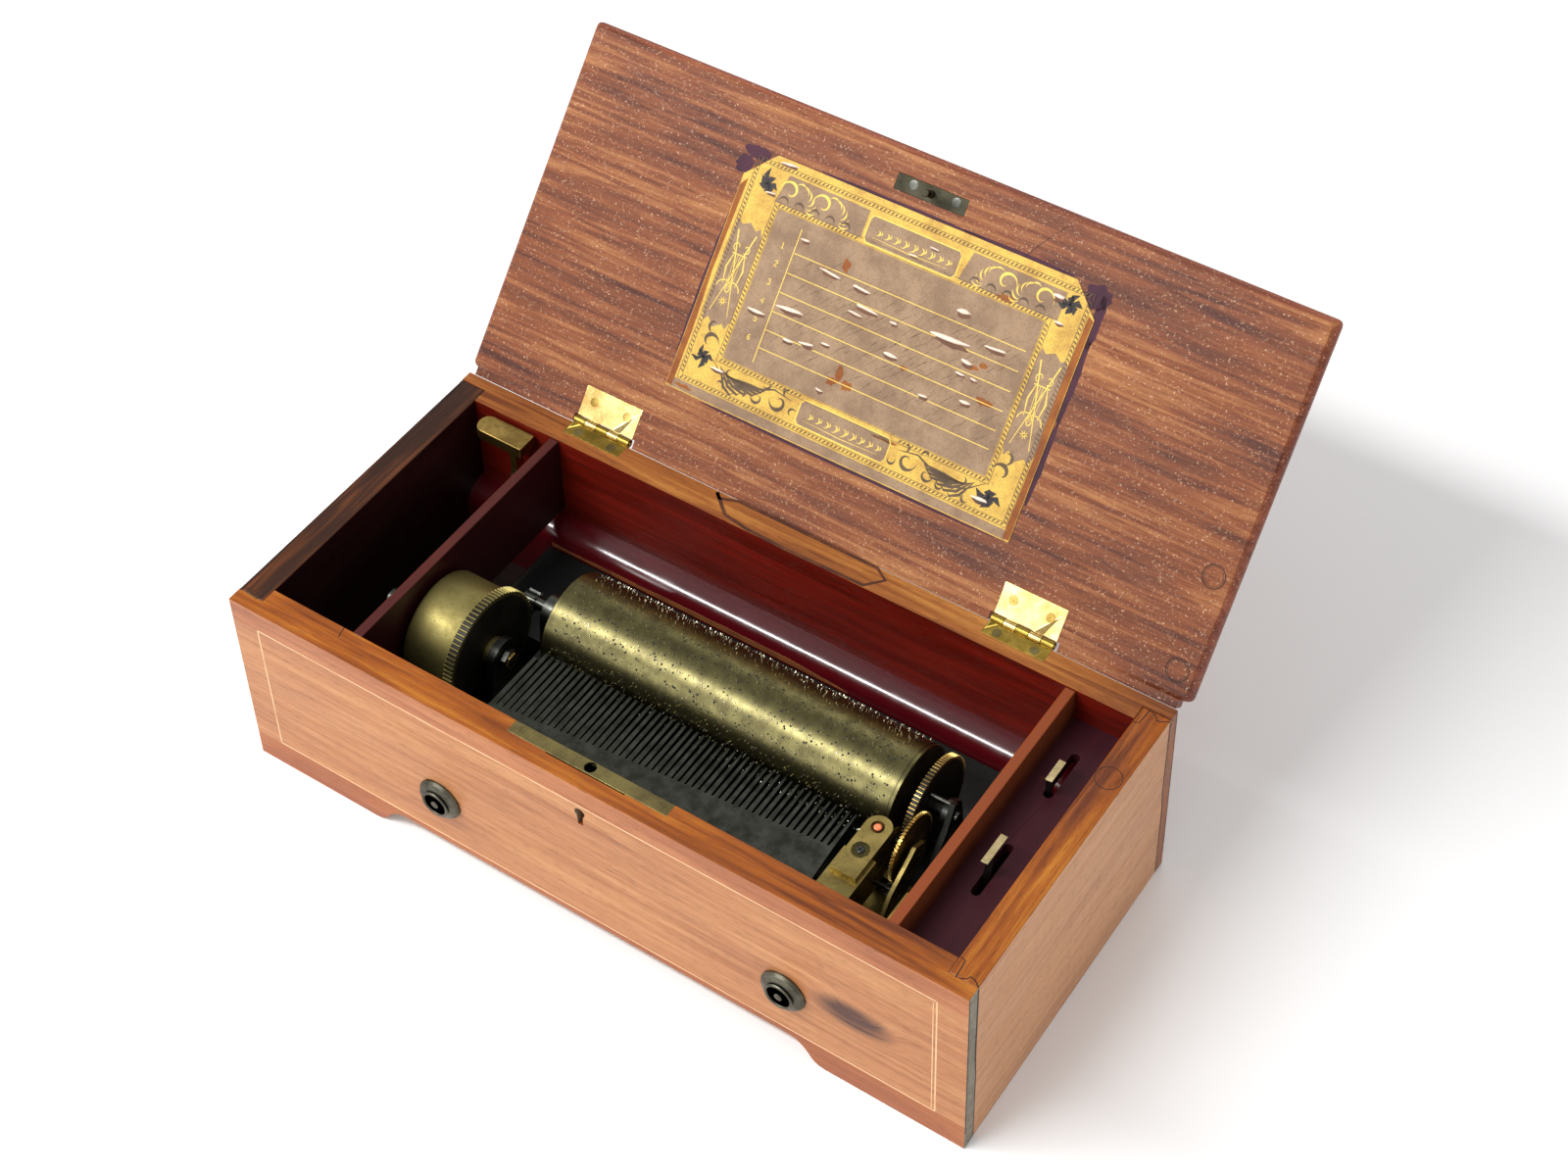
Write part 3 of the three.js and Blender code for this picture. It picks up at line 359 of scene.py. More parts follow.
def stainedWood(name, base, dark, worn, gloss, grain="X", top=None, wornShare=0.62, paleFrom=None, ior=1.45):
    # dark red stain, brushed on and then varnished: bare orange wood shows where it has rubbed off
    material, tree = newMaterial(name)
    place = addNode(tree, "ShaderNodeTexCoord", out="Object")
    normal = addNode(tree, "ShaderNodeTexCoord", out="Normal")
    fibre = addNode(tree, "ShaderNodeMapping", {"Vector": place, "Scale": grainScale(grain, 50, 4)})
    streak = addNode(tree, "ShaderNodeTexNoise", {"Vector": fibre, "Scale": 1.0, "Detail": 6.0,
                                                  "Roughness": 0.6})
    cloud = addNode(tree, "ShaderNodeTexNoise", {"Vector": place, "Scale": 1000 / 18, "Detail": 6.0,
                                                 "Roughness": 0.65})
    colour = addNode(tree, "ShaderNodeMix", {0: streak, 6: base, 7: dark}, out=2, data_type="RGBA")
    rubbed = addNode(tree, "ShaderNodeMapRange", {"Value": cloud, "From Min": wornShare,
                                                  "From Max": wornShare + 0.08})
    colour = addNode(tree, "ShaderNodeMix", {0: rubbed, 6: colour, 7: worn}, out=2, data_type="RGBA")
    if top:
        up = addNode(tree, "ShaderNodeSeparateXYZ", {"Vector": normal}, out="Z")
        crest = addNode(tree, "ShaderNodeMapRange", {"Value": up, "From Min": 0.4, "From Max": 0.8})
        scuffed = addNode(tree, "ShaderNodeMix", {0: streak, 6: top, 7: base}, out=2, data_type="RGBA")
        colour = addNode(tree, "ShaderNodeMix", {0: crest, 6: colour, 7: scuffed}, out=2, data_type="RGBA")
    if paleFrom:
        # above paleFrom mm the colour turns towards the worn orange, more so higher up
        height = addNode(tree, "ShaderNodeSeparateXYZ", {"Vector": place}, out="Z")
        uneven = addNode(tree, "ShaderNodeMath", {0: cloud, 1: 0.014}, operation="MULTIPLY")
        height = addNode(tree, "ShaderNodeMath", {0: height, 1: uneven}, operation="ADD")
        reach = addNode(tree, "ShaderNodeMapRange", {"Value": height, "From Min": at(0, 0, paleFrom).z,
                                                     "From Max": at(0, 0, paleFrom + 14).z, "To Max": 0.8})
        colour = addNode(tree, "ShaderNodeMix", {0: reach, 6: colour, 7: worn}, out=2, data_type="RGBA")
    rough = addNode(tree, "ShaderNodeMapRange", {"Value": cloud, "From Min": 0.35, "From Max": 0.7,
                                                 "To Min": gloss, "To Max": gloss + 0.1})
    endMaterial(tree, {"Base Color": colour, "Roughness": rough, "IOR": ior}, streak, 0.02)
    return material


# each wood lists its dark, middle and light tones: first for any face, then for faces that look one way
up, down = (0, 0, 1), (0, 0, -1)
wallTop = ("#642c08", "#9a5010", "#bd7622")
# painted shade: the red stain of the walls' inner faces is darkened to near black for the shade inside the
# case
innerRedInShade = ("#150609", "#240b0d", "#351011")
endGrain = ("#5f594b", "#7f7866", "#989180")

frontWood = polishedMahogany(
    "shellacked mahogany front", "X",
    [(None, ("#a0623a", "#b97c4f", "#cb9262")), (up, wallTop), ((0, 1, 0), innerRedInShade), ((1, 0, 0), endGrain)],
    0.38,
    bands=[(95.4, 200, "#f2ded8", 0.9), (-1, 15.6, "#e0b89c", 0.8)],
    figure={"centre": (333, 0, 51), "width": 40, "height": 18, "push": 10, "strength": 0.95,
            "tint": "#42201a"},
)
rearWood = polishedMahogany(
    "shellacked mahogany back", "X",
    [(None, ("#7a4426", "#9c5c34", "#b5744a")), (up, ("#6b3512", "#9a5a24", "#bd803c")),
     ((0, -1, 0), ("#4a0a03", "#661206", "#80190a"))],
    0.4,
)
leftWood = polishedMahogany(
    "shellacked mahogany left end", "Y",
    [(None, ("#8f5634", "#b07046", "#c78a5c")), (up, ("#1d0c03", "#371a08", "#703a14")),
     ((1, 0, 0), innerRedInShade)],
    0.4,
)
rightWood = polishedMahogany(
    "shellacked mahogany right end", "Y",
    [(None, ("#bc825a", "#cf966b", "#dba67c")), (up, wallTop), ((-1, 0, 0), innerRedInShade)],
    0.42,
)
bottomWood = polishedMahogany(
    "unpolished mahogany bottom", "X",
    # painted shade: the upward face, the floor inside the case, is near black for the shade that lies there
    [(None, ("#5b3524", "#7a4a33", "#8f5d42")), (up, ("#140907", "#21100c", "#2e1812"))],
    0.7,
)
lidWood = polishedMahogany(
    "worn mahogany lid", "X",
    [(None, ("#5f2818", "#86432c", "#a15a40")), (down, ("#4c1c07", "#83441f", "#b47846")),
     (up, ("#7a4630", "#9a5f42", "#b37a58"))],
    0.45, swing=True, paintedGlints=0.75,
)
partitionWood = stainedWood("stained right partition", "#3a0f10", "#22080a", "#8a4522", 0.4, "Y",
                            top="#b04a1a", wornShare=0.7, paleFrom=92, ior=1.3)
leftPartitionWood = stainedWood("stained left partition", "#360c12", "#22080b", "#5a1c12", 0.35, "Y",
                                top="#5c2416", wornShare=0.7, ior=1.35)
boardWood = stainedWood("stained control board", "#4c1622", "#2c1016", "#7a3a2a", 0.5, "Y", wornShare=0.66,
                        ior=1.3)
railWood = stainedWood("varnished rail", "#5c0c14", "#3f060c", "#8a3a1c", 0.12, "X", wornShare=0.72, ior=1.7)
agedBrass = agedMetal("aged rolled brass", "#c9a75e", "#8d7440", "#4a3d22", 0.34)
# painted highlight: the lid's hinge leaves and knuckles get a paler brass than the case leaves, partly their
# own rubbed colour and partly a painted glint
hingeBrassWithPaintedGlint = agedMetal("hinge brass paled for its glint", "#e6cc86", "#b9975a", "#6d5530", 0.24)
oliveBrass = agedMetal("olive plate brass", "#a38f54", "#7d6e40", "#3c341c", 0.38)
darkBronze = agedMetal("dark bronze", "#3f3c30", "#2c2a22", "#15140f", 0.4)
greenBrass = agedMetal("greener hinge brass", "#a98f42", "#7d6a2c", "#3f3514", 0.34)
dullBrass = agedMetal("dull olive brass", "#8f8252", "#6a6040", "#3a3524", 0.42)
cylinderBrass = agedMetal("patinated cylinder brass", "#6e6844", "#565036", "#241f10", 0.33, grit=0.55,
                          relief=0.004, vary=0.03)
barrelBrass = agedMetal("patinated barrel brass", "#a0945c", "#857a4a", "#4a4426", 0.5, relief=0.01)
combSteel = agedMetal("blued comb steel", "#4a4c45", "#34362f", "#1b1c19", 0.42, grit=0.6)
brightSteel = agedMetal("filed steel", "#b4b6b2", "#85877f", "#4a4a44", 0.3, grit=0.7)
darkSteel = agedMetal("oiled dark steel", "#5d5e58", "#3a3b38", "#1c1c1a", 0.38)
pewterSteel = agedMetal("dull bolt steel", "#6d6a5c", "#4c4a40", "#262520", 0.42)
bedIron = agedMetal("green-black enamel on iron", "#141a18", "#0c1010", "#2e332c", 0.35, metallic=0.2,
                    grit=1.5)
rubyStone = agedMetal("ruby endstone", "#ff9a6a", "#f07a4a", "#c85a30", 0.12, metallic=0.0, relief=0.0)
print("stage: materials made")


def smoothByAngle():
    group = bpy.data.node_groups.new("smooth by angle", "GeometryNodeTree")
    group.interface.new_socket("Geometry", in_out="INPUT", socket_type="NodeSocketGeometry")
    group.interface.new_socket("Geometry", in_out="OUTPUT", socket_type="NodeSocketGeometry")
    start = addNode(group, "NodeGroupInput")
    welded = addNode(group, "GeometryNodeMergeByDistance", {"Geometry": start, "Distance": 1e-6})
    angle = addNode(group, "GeometryNodeInputMeshEdgeAngle")
    sharp = addNode(group, "FunctionNodeCompare", {0: angle, 1: math.radians(32)}, operation="GREATER_THAN")
    faces = addNode(group, "GeometryNodeSetShadeSmooth", {"Geometry": welded, "Shade Smooth": True},
                    domain="FACE")
    edges = addNode(group, "GeometryNodeSetShadeSmooth", {"Geometry": faces, "Selection": sharp,
                                                          "Shade Smooth": False}, domain="EDGE")
    addNode(group, "NodeGroupOutput", {0: edges})
    return group


smoothGroup = smoothByAngle()
dress = {
    "case_front": (frontWood, 0.7),
    "case_rear": (rearWood, 0.7),
    "case_left": (leftWood, 0.7),
    "case_right": (rightWood, 0.7),
    "case_bottom": (bottomWood, 0.4),
    "left_partition": (leftPartitionWood, 0.5),
    "right_partition": (partitionWood, 0.5),
    "control_board": (boardWood, 0.4),
    "rear_rail": (railWood, 0.0),
    "lid": (lidWood, 0.35),
    "lock_plate": (dullBrass, 0.2),
    "lock_case": (darkBronze, 0.2),
    "lid_catch": (darkBronze, 0.2),
    "bedplate": (bedIron, 0.5),
    "comb": (combSteel, 0.12),
    "comb_base": (bedIron, 0.3),
    "governor_frame": (oliveBrass, 0.2),
    "governor_side_cock": (oliveBrass, 0.15),
    "governor_top_cock": (oliveBrass, 0.3),
    "governor_ruby": (rubyStone, 0.15),
    "control_plate": (bedIron, 0.2),
    "winding_lever": (agedBrass, 0.4),
    "holding_click": (brightSteel, 0.15),
    "lock_bolt": (brightSteel, 0.1),
    "mainspring": (darkSteel, 0.0),
    "barrel_arbor": (darkSteel, 0.2),
    "spring_barrel": (barrelBrass, 0.08),
    "barrel_cap": (barrelBrass, 0.2),
    "cylinder_tube": (cylinderBrass, 0.0),
    "cylinder_cap_left": (cylinderBrass, 0.2),
    "cylinder_cap_right": (cylinderBrass, 0.2),
    "cylinder_wheel": (agedBrass, 0.08),
    "governor_first_wheel": (agedBrass, 0.08),
    "worm_wheel": (agedBrass, 0.08),
    "fan": (dullBrass, 0.08),
    "tune_sheet": (stainedPaper("gold printed border", "#ecc25a", "#c79b4a", "#7a6040", 0.54), 0.0),
}
dress.update({name: (hingeBrassWithPaintedGlint, 0.15) for name in frame["nodes"] if name.startswith("hinge_")})
dress.update({name: (greenBrass, 0.15) for name in frame["nodes"] if name.endswith("_case_leaf")})
dress.update({name: (pewterSteel, 0.3) for name in frame["nodes"] if "_bolt_" in name})
plainSteel = ["ratchet_wheel", "cylinder_arbor", "governor_first_arbor", "governor_second_arbor",
              "endless_screw", "start_lever", "stop_detent", "rock_shaft_bearing", "change_lever",
              "barrel_cock_right", "barrel_cock_left", "cylinder_bracket_left", "cylinder_bracket_right"]
dress.update({name: (darkSteel, 0.2) for name in plainSteel})
for name, (material, bevel) in dress.items():
    node = frame["nodes"][name]
    for index in range(len(node.material_slots)):
        node.material_slots[index].material = material
    if not node.material_slots:
        node.data.materials.append(material)
    modifier = node.modifiers.new("smooth", "NODES")
    modifier.node_group = smoothGroup
    if bevel:
        softenEdges(node, bevel)
print("stage: CAD nodes dressed")


# each of these turns a place on one face into a point; h is the height off that face, in mm
def onTop(x, y, h):
    return at(x, y, caseSize.z + h)


def onFront(x, z, h):
    return at(x, -h, z)


def onRight(y, z, h):
    return at(caseSize.x + h, y, z)


def onLeft(y, z, h):
    return at(-h, y, z)


def onSheet(x, fromBack, h):
    return onLid(x, fromBack, cardFace + h)


def addStroke(mesh, lift, points, widths, low=-0.02, high=0.04):
    # a ribbon along the points; widths is one number or one for each point
    points = [Vector(point) for point in points]
    if not isinstance(widths, (list, tuple)):
        widths = [widths] * len(points)
    rows = []
    for i, point in enumerate(points):
        heading = points[min(i + 1, len(points) - 1)] - points[max(i - 1, 0)]
        across = Vector((-heading.y, heading.x)).normalized() * max(widths[i], 0.04) / 2
        row = [lift(*(point + across), low), lift(*(point - across), low),
               lift(*(point - across), high), lift(*(point + across), high)]
        rows.append([mesh.verts.new(place) for place in row])
    for first, second in zip(rows, rows[1:]):
        for i in range(4):
            j = (i + 1) % 4
            mesh.faces.new((first[i], first[j], second[j], second[i]))
    mesh.faces.new(rows[0][::-1])
    mesh.faces.new(rows[-1])


def addPatch(mesh, lift, centre, size, rng, low=-0.02, high=0.03, ragged=0.25, corners=14):
    # an uneven spot: an ellipse with a wandering edge
    outline = []
    for i in range(corners):
        angle = 2 * math.pi * i / corners
        reach = 1 + rng.uniform(-ragged, ragged)
        outline.append((centre[0] + size[0] * reach * math.cos(angle) / 2,
                        centre[1] + size[1] * reach * math.sin(angle) / 2))
    addPrism(mesh, outline, lift, low, high)


def addRing(mesh, lift, centre, radius, width, low, high):
    angles = [2 * math.pi * i / 28 for i in range(29)]
    around = [(centre[0] + radius * math.cos(angle), centre[1] + radius * math.sin(angle)) for angle in angles]
    addStroke(mesh, lift, around, width, low, high)


def curl(centre, radius, start, turn, inner=0.25, steps=12):
    # part of a spiral: start and turn are in degrees
    points = []
    for i in range(steps + 1):
        share = i / steps
        reach = radius * (1 - (1 - inner) * share)
        angle = math.radians(start + turn * share)
        points.append((centre[0] + reach * math.cos(angle), centre[1] + reach * math.sin(angle)))
    return points


def leafWidths(count, widest, peak=0.4):
    return [widest * min(i / (count * peak), (count - i) / (count * (1 - peak)), 1) for i in range(count + 1)]


# woodwork of the case: inlaid line, joints, repairs and stains
rng = random.Random(11)
boxwood = stainedPaper("pale boxwood line", "#f0c79c", "#e2b184", "#b07c50", grain=0.5)
glueLine = stainedPaper("dark glue line", "#2c1a12", "#3d2416", "#1a0f0a")
stringing = {"left": 14.8, "right": 373.3, "bottom": 16.0, "top": 95.4, "width": 0.75, "depth": 0.2,
             "lift": 0.06, "second": {"x": 371.6, "ends": (17.2, 93.6), "width": 0.5}}
lines = bmesh.new()
loop = [(stringing["left"], stringing["bottom"]), (stringing["right"], stringing["bottom"]),
        (stringing["right"], stringing["top"]), (stringing["left"], stringing["top"])]
for i in range(4):
    addStroke(lines, onFront, [loop[i], loop[(i + 1) % 4]], stringing["width"], -stringing["depth"],
              stringing["lift"])
second = stringing["second"]
addStroke(lines, onFront, [(second["x"], z) for z in second["ends"]], second["width"], -stringing["depth"],
          stringing["lift"])
makePiece("front_stringing", lines, boxwood, "case")

joint = {
    "dovetail": [(13.4, 15.6), (11.0, 15.2), (10.3, 6.5), (6.3, 7.9), (5.4, 9.8), (3.2, 9.5), (0.1, 7.2)],
    "width": 0.55, "lift": 0.05, "depth": 0.3, "endDepth": 0.2,
    "wallMiddle": 7.0, "edge": 0.6, "foot": 0.5, "head": 107,
    "split": [(54.9, 15), (56.2, 9.5)],
}
joints = bmesh.new()
for mirrorX in (False, True):
    for mirrorY in (False, True):
        path = [(caseSize.x - x if mirrorX else x, caseSize.y - y if mirrorY else y)
                for x, y in joint["dovetail"]]
        addStroke(joints, onTop, path, joint["width"], -joint["depth"], joint["lift"])
for y in (joint["wallMiddle"], caseSize.y - joint["wallMiddle"]):
    opened = [(y, joint["foot"]), (y + 0.4, 46), (y - 0.5, 60), (y, joint["head"])]      # open half way up
    addStroke(joints, onRight, opened, [0.4, 0.5, 1.0, 0.9], -joint["endDepth"], joint["lift"])
    closed = [(y, joint["foot"]), (y, joint["head"])]
    addStroke(joints, onLeft, closed, 0.5, -joint["endDepth"], joint["lift"])
for y in (joint["edge"], caseSize.y - joint["edge"]):
    addStroke(joints, onRight, [(y, 10), (y, joint["head"])], 0.45, -joint["endDepth"], joint["lift"])
addStroke(joints, onTop, joint["split"], 0.5, -joint["depth"], joint["lift"])
makePiece("joint_lines", joints, glueLine, "case")

wornPatch = {"outline": [(147, 172), (150, 169.3), (158.8, 172.6), (201, 172.6), (235, 172.4), (242, 168),
                         (235, 160.2), (193, 159.6), (172, 160.2), (158, 162.4)], "edge": 1.8}
edge = bmesh.new()
addStroke(edge, onTop, wornPatch["outline"] + wornPatch["outline"][:1], wornPatch["edge"], -0.3, 0.04)
burntEdge = stainedPaper("burnt edge", "#4a2412", "#6b3a1c", "#2c140a")
makePiece("dark_edge_of_the_worn_patch", edge, burntEdge, "case")

wallPlug = {"centre": (380.6, 125.2), "radius": 6.0, "line": 0.35}
plugLine = bmesh.new()
addRing(plugLine, onTop, wallPlug["centre"], wallPlug["radius"], wallPlug["line"], -0.3, 0.04)
makePiece("plug_line_on_the_right_wall", plugLine, glueLine, "case")

lidMarks = {
    "plugs": ((380.4, 55.2), (380.6, 11.6)),
    "lines": ((5.3, 0.45, 0.04), (4.5, 0.2, 0.03)),      # radius, width and lift
    "scratch": [(238.4, 141.4), (246, 150), (252, 160), (260.7, 171.4)],
}
lidPlugs = bmesh.new()
for centre in lidMarks["plugs"]:
    for radius, width, lift in lidMarks["lines"]:
        addRing(lidPlugs, onLid, centre, radius, width, -0.3, lift)
addStroke(lidPlugs, onLid, lidMarks["scratch"], [0.2, 0.35, 0.3, 0.15], -0.2, 0.02)
makePiece("plug_lines_and_a_scratch_in_the_lid", lidPlugs, glueLine, "lid")

# old glue that has crept out from under the card: centre and size of each run
creptGlue = {
    "corners": (((99.5, 141.5), (9, 9)), ((104.5, 148.5), (15, 6)), ((285.5, 147), (13, 12))),
    "rightEdge": (((289, 136), (5, 26)), ((289.3, 108), (3.5, 42)), ((289.2, 70), (3, 40))),
    "otherEdges": (((200, 30.2), (150, 1.6)), ((180, 151.6), (90, 1.8)), ((245, 151.8), (60, 2.2)),
                   ((100.4, 80), (2, 70))),
    "ragged": 0.14,
}
halo = bmesh.new()
for centre, size in creptGlue["corners"] + creptGlue["rightEdge"] + creptGlue["otherEdges"]:
    addPatch(halo, onLid, centre, size, rng, -0.3, 0.02, creptGlue["ragged"], 26)
purpleStain = stainedPaper("purple glue stain", "#4a2234", "#3a1a2a", "#27101a")
makePiece("stain_round_the_card", halo, purpleStain, "lid")
print("stage: woodwork made")

# the printed tune card: places on it are x along the lid and the distance from the lid's hinged edge
rng = random.Random(23)
card = {
    "field": {"left": 127, "right": 264, "rear": 56.5, "front": 125.5, "rim": 2.6},
    "panelMiddles": ((113.6, 91), (276.8, 91)),
    "sidePanel": [(0, -26), (4, -23), (6, -25), (8.2, -20), (8.2, 20), (6, 25), (4, 23), (0, 26), (-4, 24),
                  (-6.8, 26), (-7.6, 20), (-7.6, -20), (-6, -25), (-4, -22)],
    "scrollPanels": ((121, 168.5), (220.5, 272)),
    "scrollRows": (130.5, 144),
    "footStrip": [(103, 31.4), (286, 31.4), (286, 35.6), (103, 36)],
    "cartouche": {"left": 170, "right": 218.6, "rows": ((129.5, 142.5), (39.6, 51.6)),
                  "leftClip": 1.5, "rightClip": 1.6, "rise": 2},
}
field = card["field"]
sheetBrown = stainedPaper("browned card field", "#a88a6c", "#8f735a", "#66503a", 0.5)
sheetGold = stainedPaper("gold print", "#ffdb6a", "#ecba50", "#a8803c", 0.62, 0.6)
sheetInk = stainedPaper("grey-brown print", "#6f5a44", "#5c4a38", "#3e3024", 0.5, 0.5)
sheetRust = stainedPaper("orange edge stain", "#a5601f", "#8a4a1c", "#5c3216", 0.5)
darkPetal = stainedPaper("black tarnished print", "#2b2528", "#3b3336", "#8a8276", 0.6, 0.5)
blisterPaper = stainedPaper("lifted pale paper", "#fbe9d6", "#e8cdb4", "#b08468", 0.6, 0.5)
# painted shadow for the lifted flakes
flakeShadow = stainedPaper("red-brown painted shadow", "#6e4a36", "#7d563e", "#4a2e20")


def rectangle(left, rear, right, front):
    return [(left, rear), (right, rear), (right, front), (left, front)]


def cartouche(low, high):
    # a small frame with clipped corners, where a heading would stand
    border = card["cartouche"]
    left, right, rise = border["left"], border["right"], border["rise"]
    start, end = left + border["leftClip"], right - border["rightClip"]
    return [(start, low), (end, low), (right, low + rise), (right, high - rise), (end, high), (start, high),
            (left, high - rise), (left, low + rise)]


brown = bmesh.new()
ground = rectangle(field["left"] - field["rim"], field["rear"] - field["rim"], field["right"] + field["rim"],
                   field["front"] + field["rim"])
addPrism(brown, ground, onSheet, -0.02, 0.03)
for middleX, middleY in card["panelMiddles"]:
    addPrism(brown, [(middleX + x, middleY + y) for x, y in card["sidePanel"]], onSheet, -0.02, 0.03)
rear, front = card["scrollRows"]
for left, right in card["scrollPanels"]:
    slanted = [(left, rear), (right, rear), (right, front), (left + 3, front + 0.5)]
    addPrism(brown, slanted, onSheet, -0.02, 0.03)
addPrism(brown, card["footStrip"], onSheet, -0.02, 0.03)
for low, high in card["cartouche"]["rows"]:
    addPrism(brown, cartouche(low, high), onSheet, -0.02, 0.05)
makePiece("brown_ground_of_the_card", brown, sheetBrown, "lid")

rustMarks = {
    "leftEdge": [(101.2, 32), (104.2, 32), (104.4, 60), (103.2, 90), (104.2, 136), (101.2, 132)],
    "rightEdge": [(287.8, 32), (284.6, 32), (284.9, 70), (284.2, 100), (285, 138), (287.8, 136.5)],
    "spots": (((241, 96), (7, 3)), ((247, 99), (4, 2.4)), ((167, 116), (4, 7)), ((183, 69), (5, 8)),
              ((188, 65), (5, 5)), ((180, 64), (4, 4)), ((211, 83.5), (3, 2.6)), ((253, 84), (8, 3)),
              ((215, 50), (16, 1.6)), ((110, 33.5), (10, 2)), ((246, 131), (9, 3))),
}
rust = bmesh.new()
addPrism(rust, rustMarks["leftEdge"], onSheet, -0.02, 0.04)
addPrism(rust, rustMarks["rightEdge"], onSheet, -0.02, 0.04)
for centre, size in rustMarks["spots"]:
    addPatch(rust, onSheet, centre, size, rng, 0.0, 0.05, 0.4)
makePiece("rust_stains_on_the_card", rust, sheetRust, "lid")

goldPrint = {
    "ruled": [111.9, 102.2, 92.6, 83.1, 73.9, 65.0],
    "margin": 139.5,
    "headingMiddle": 194.3, "headingLeaves": 4, "headingStep": 4.6,
    "numerals": {"x": 133, "first": 113.3, "step": 9.12, "scale": 0.75, "width": 0.45},
    "lyres": (113.9, 276.6),
    "strings": (-1.2, -0.4, 0.4, 1.2),
    "scrolls": ((145, 1), (127, 1), (243, -1), (262, -1)),      # where each starts and which way it runs
}
gold = bmesh.new()
for fromBack in goldPrint["ruled"]:
    rule = [(field["left"] + 13, fromBack), (field["right"] - 0.5, fromBack + 0.6)]
    addStroke(gold, onSheet, rule, 0.4, 0, 0.07)
rule = [(goldPrint["margin"] + 0.1, field["rear"] + 1), (goldPrint["margin"] - 0.1, field["front"] - 2)]
addStroke(gold, onSheet, rule, 0.45, 0, 0.07)
for low, high in card["cartouche"]["rows"]:
    outline = cartouche(low, high)
    addStroke(gold, onSheet, outline + outline[:1], 0.6, 0, 0.09)
    # an ornament of small leaves fills it
    middle = (low + high) / 2
    for step in range(-goldPrint["headingLeaves"], goldPrint["headingLeaves"] + 1):
        x = goldPrint["headingMiddle"] + step * goldPrint["headingStep"]
        tall = 2.9 - 0.25 * abs(step)
        largeLeaf = curl((x, middle), tall, 250, 200, 0.3, 8)
        smallLeaf = curl((x + 1.4, middle - 0.4), tall * 0.7, 70, -160, 0.3, 8)
        addStroke(gold, onSheet, largeLeaf, leafWidths(8, 0.9), 0, 0.1)
        addStroke(gold, onSheet, smallLeaf, leafWidths(8, 0.7), 0, 0.1)
    stem = [(174, middle - 3.2), (goldPrint["headingMiddle"], middle - 3.9), (214.6, middle - 3.2)]
    addStroke(gold, onSheet, stem, [0.1, 0.35, 0.1], 0, 0.1)

# strokes of each numeral, from its middle
digits = {
    "1": [[(-0.6, 1.2), (0.1, 1.9), (0.1, -1.9)], [(-0.7, -1.9), (0.9, -1.9)]],
    "2": [[(-1, 1.1), (-0.5, 1.8), (0.6, 1.8), (1, 1.0), (0.4, 0), (-1.1, -1.8), (1.1, -1.8)]],
    "3": [[(-1, 1.4), (0, 1.9), (0.9, 1.2), (0, 0.2), (1, -0.8), (0, -1.9), (-1, -1.4)]],
    "4": [[(0.7, -1.9), (0.7, 1.9), (-1.1, -0.7), (1.2, -0.7)]],
    "5": [[(1, 1.8), (-0.7, 1.8), (-0.8, 0.3), (0.3, 0.5), (1, -0.5), (0.3, -1.8), (-1, -1.4)]],
    "6": [[(0.8, 1.6), (-0.3, 1.3), (-0.9, -0.4), (-0.3, -1.8), (0.7, -1.5), (0.8, -0.3), (-0.1, 0.2),
           (-0.8, -0.5)]],
}
numerals = goldPrint["numerals"]
for count, digit in enumerate("123456"):
    middle = numerals["first"] - numerals["step"] * count
    for stroke in digits[digit]:
        place = [(numerals["x"] + numerals["scale"] * x, middle + numerals["scale"] * y) for x, y in stroke]
        addStroke(gold, onSheet, place, numerals["width"], 0, 0.08)

# musical trophies down the sides: a lyre with crossed pipes and a flower under it
for middleX in goldPrint["lyres"]:
    for side in (-1, 1):
        arm = curl((middleX + side * 1.6, 84), 4.6, 90 - side * 90, side * 230, 0.5, 14)
        horn = [(middleX + side * 3.4, 86), (middleX + side * 4.6, 94), (middleX + side * 2.6, 102)]
        hook = curl((middleX + side * 2.4, 104.5), 2.4, 250, side * 260, 0.35, 10)
        pipe = [(middleX - side * 5, 72), (middleX + side * 5, 112)]
        addStroke(gold, onSheet, arm, 0.5, 0, 0.08)
        addStroke(gold, onSheet, horn, [0.3, 0.8, 0.3], 0, 0.08)
        addStroke(gold, onSheet, hook, 0.45, 0, 0.08)
        addStroke(gold, onSheet, pipe, [0.3, 0.7], 0, 0.07)
    for string in goldPrint["strings"]:
        addStroke(gold, onSheet, [(middleX + string, 84), (middleX + string * 1.6, 101)], 0.22, 0, 0.08)
    addStroke(gold, onSheet, [(middleX - 4, 101), (middleX + 4, 101)], 0.5, 0, 0.09)
    for petal in range(8):
        angle = math.pi * petal / 4
        tip = (middleX + 2.3 * math.cos(angle), 78 + 2.3 * math.sin(angle))
        addStroke(gold, onSheet, [(middleX, 78), tip], [0.7, 0.1], 0, 0.08)
# feathery scrolls on the brown part of the top border
for start, flip in goldPrint["scrolls"]:
    spiral = curl((start, 137.5), 5.8, 200 if flip > 0 else -20, -flip * 330, 0.2, 22)
    addStroke(gold, onSheet, spiral, leafWidths(22, 1.5), 0, 0.08)
    for leaf in range(6):
        turn = 150 - 34 * leaf
        base = (start + flip * (6 + 1.2 * leaf), 139.5 - 1.1 * leaf)
        frond = curl(base, 4.2, turn if flip > 0 else 180 - turn, -flip * 110, 0.5, 8)
        addStroke(gold, onSheet, frond, leafWidths(8, 0.9), 0, 0.07)
makePiece("gold_print_on_the_card", gold, sheetGold, "lid")

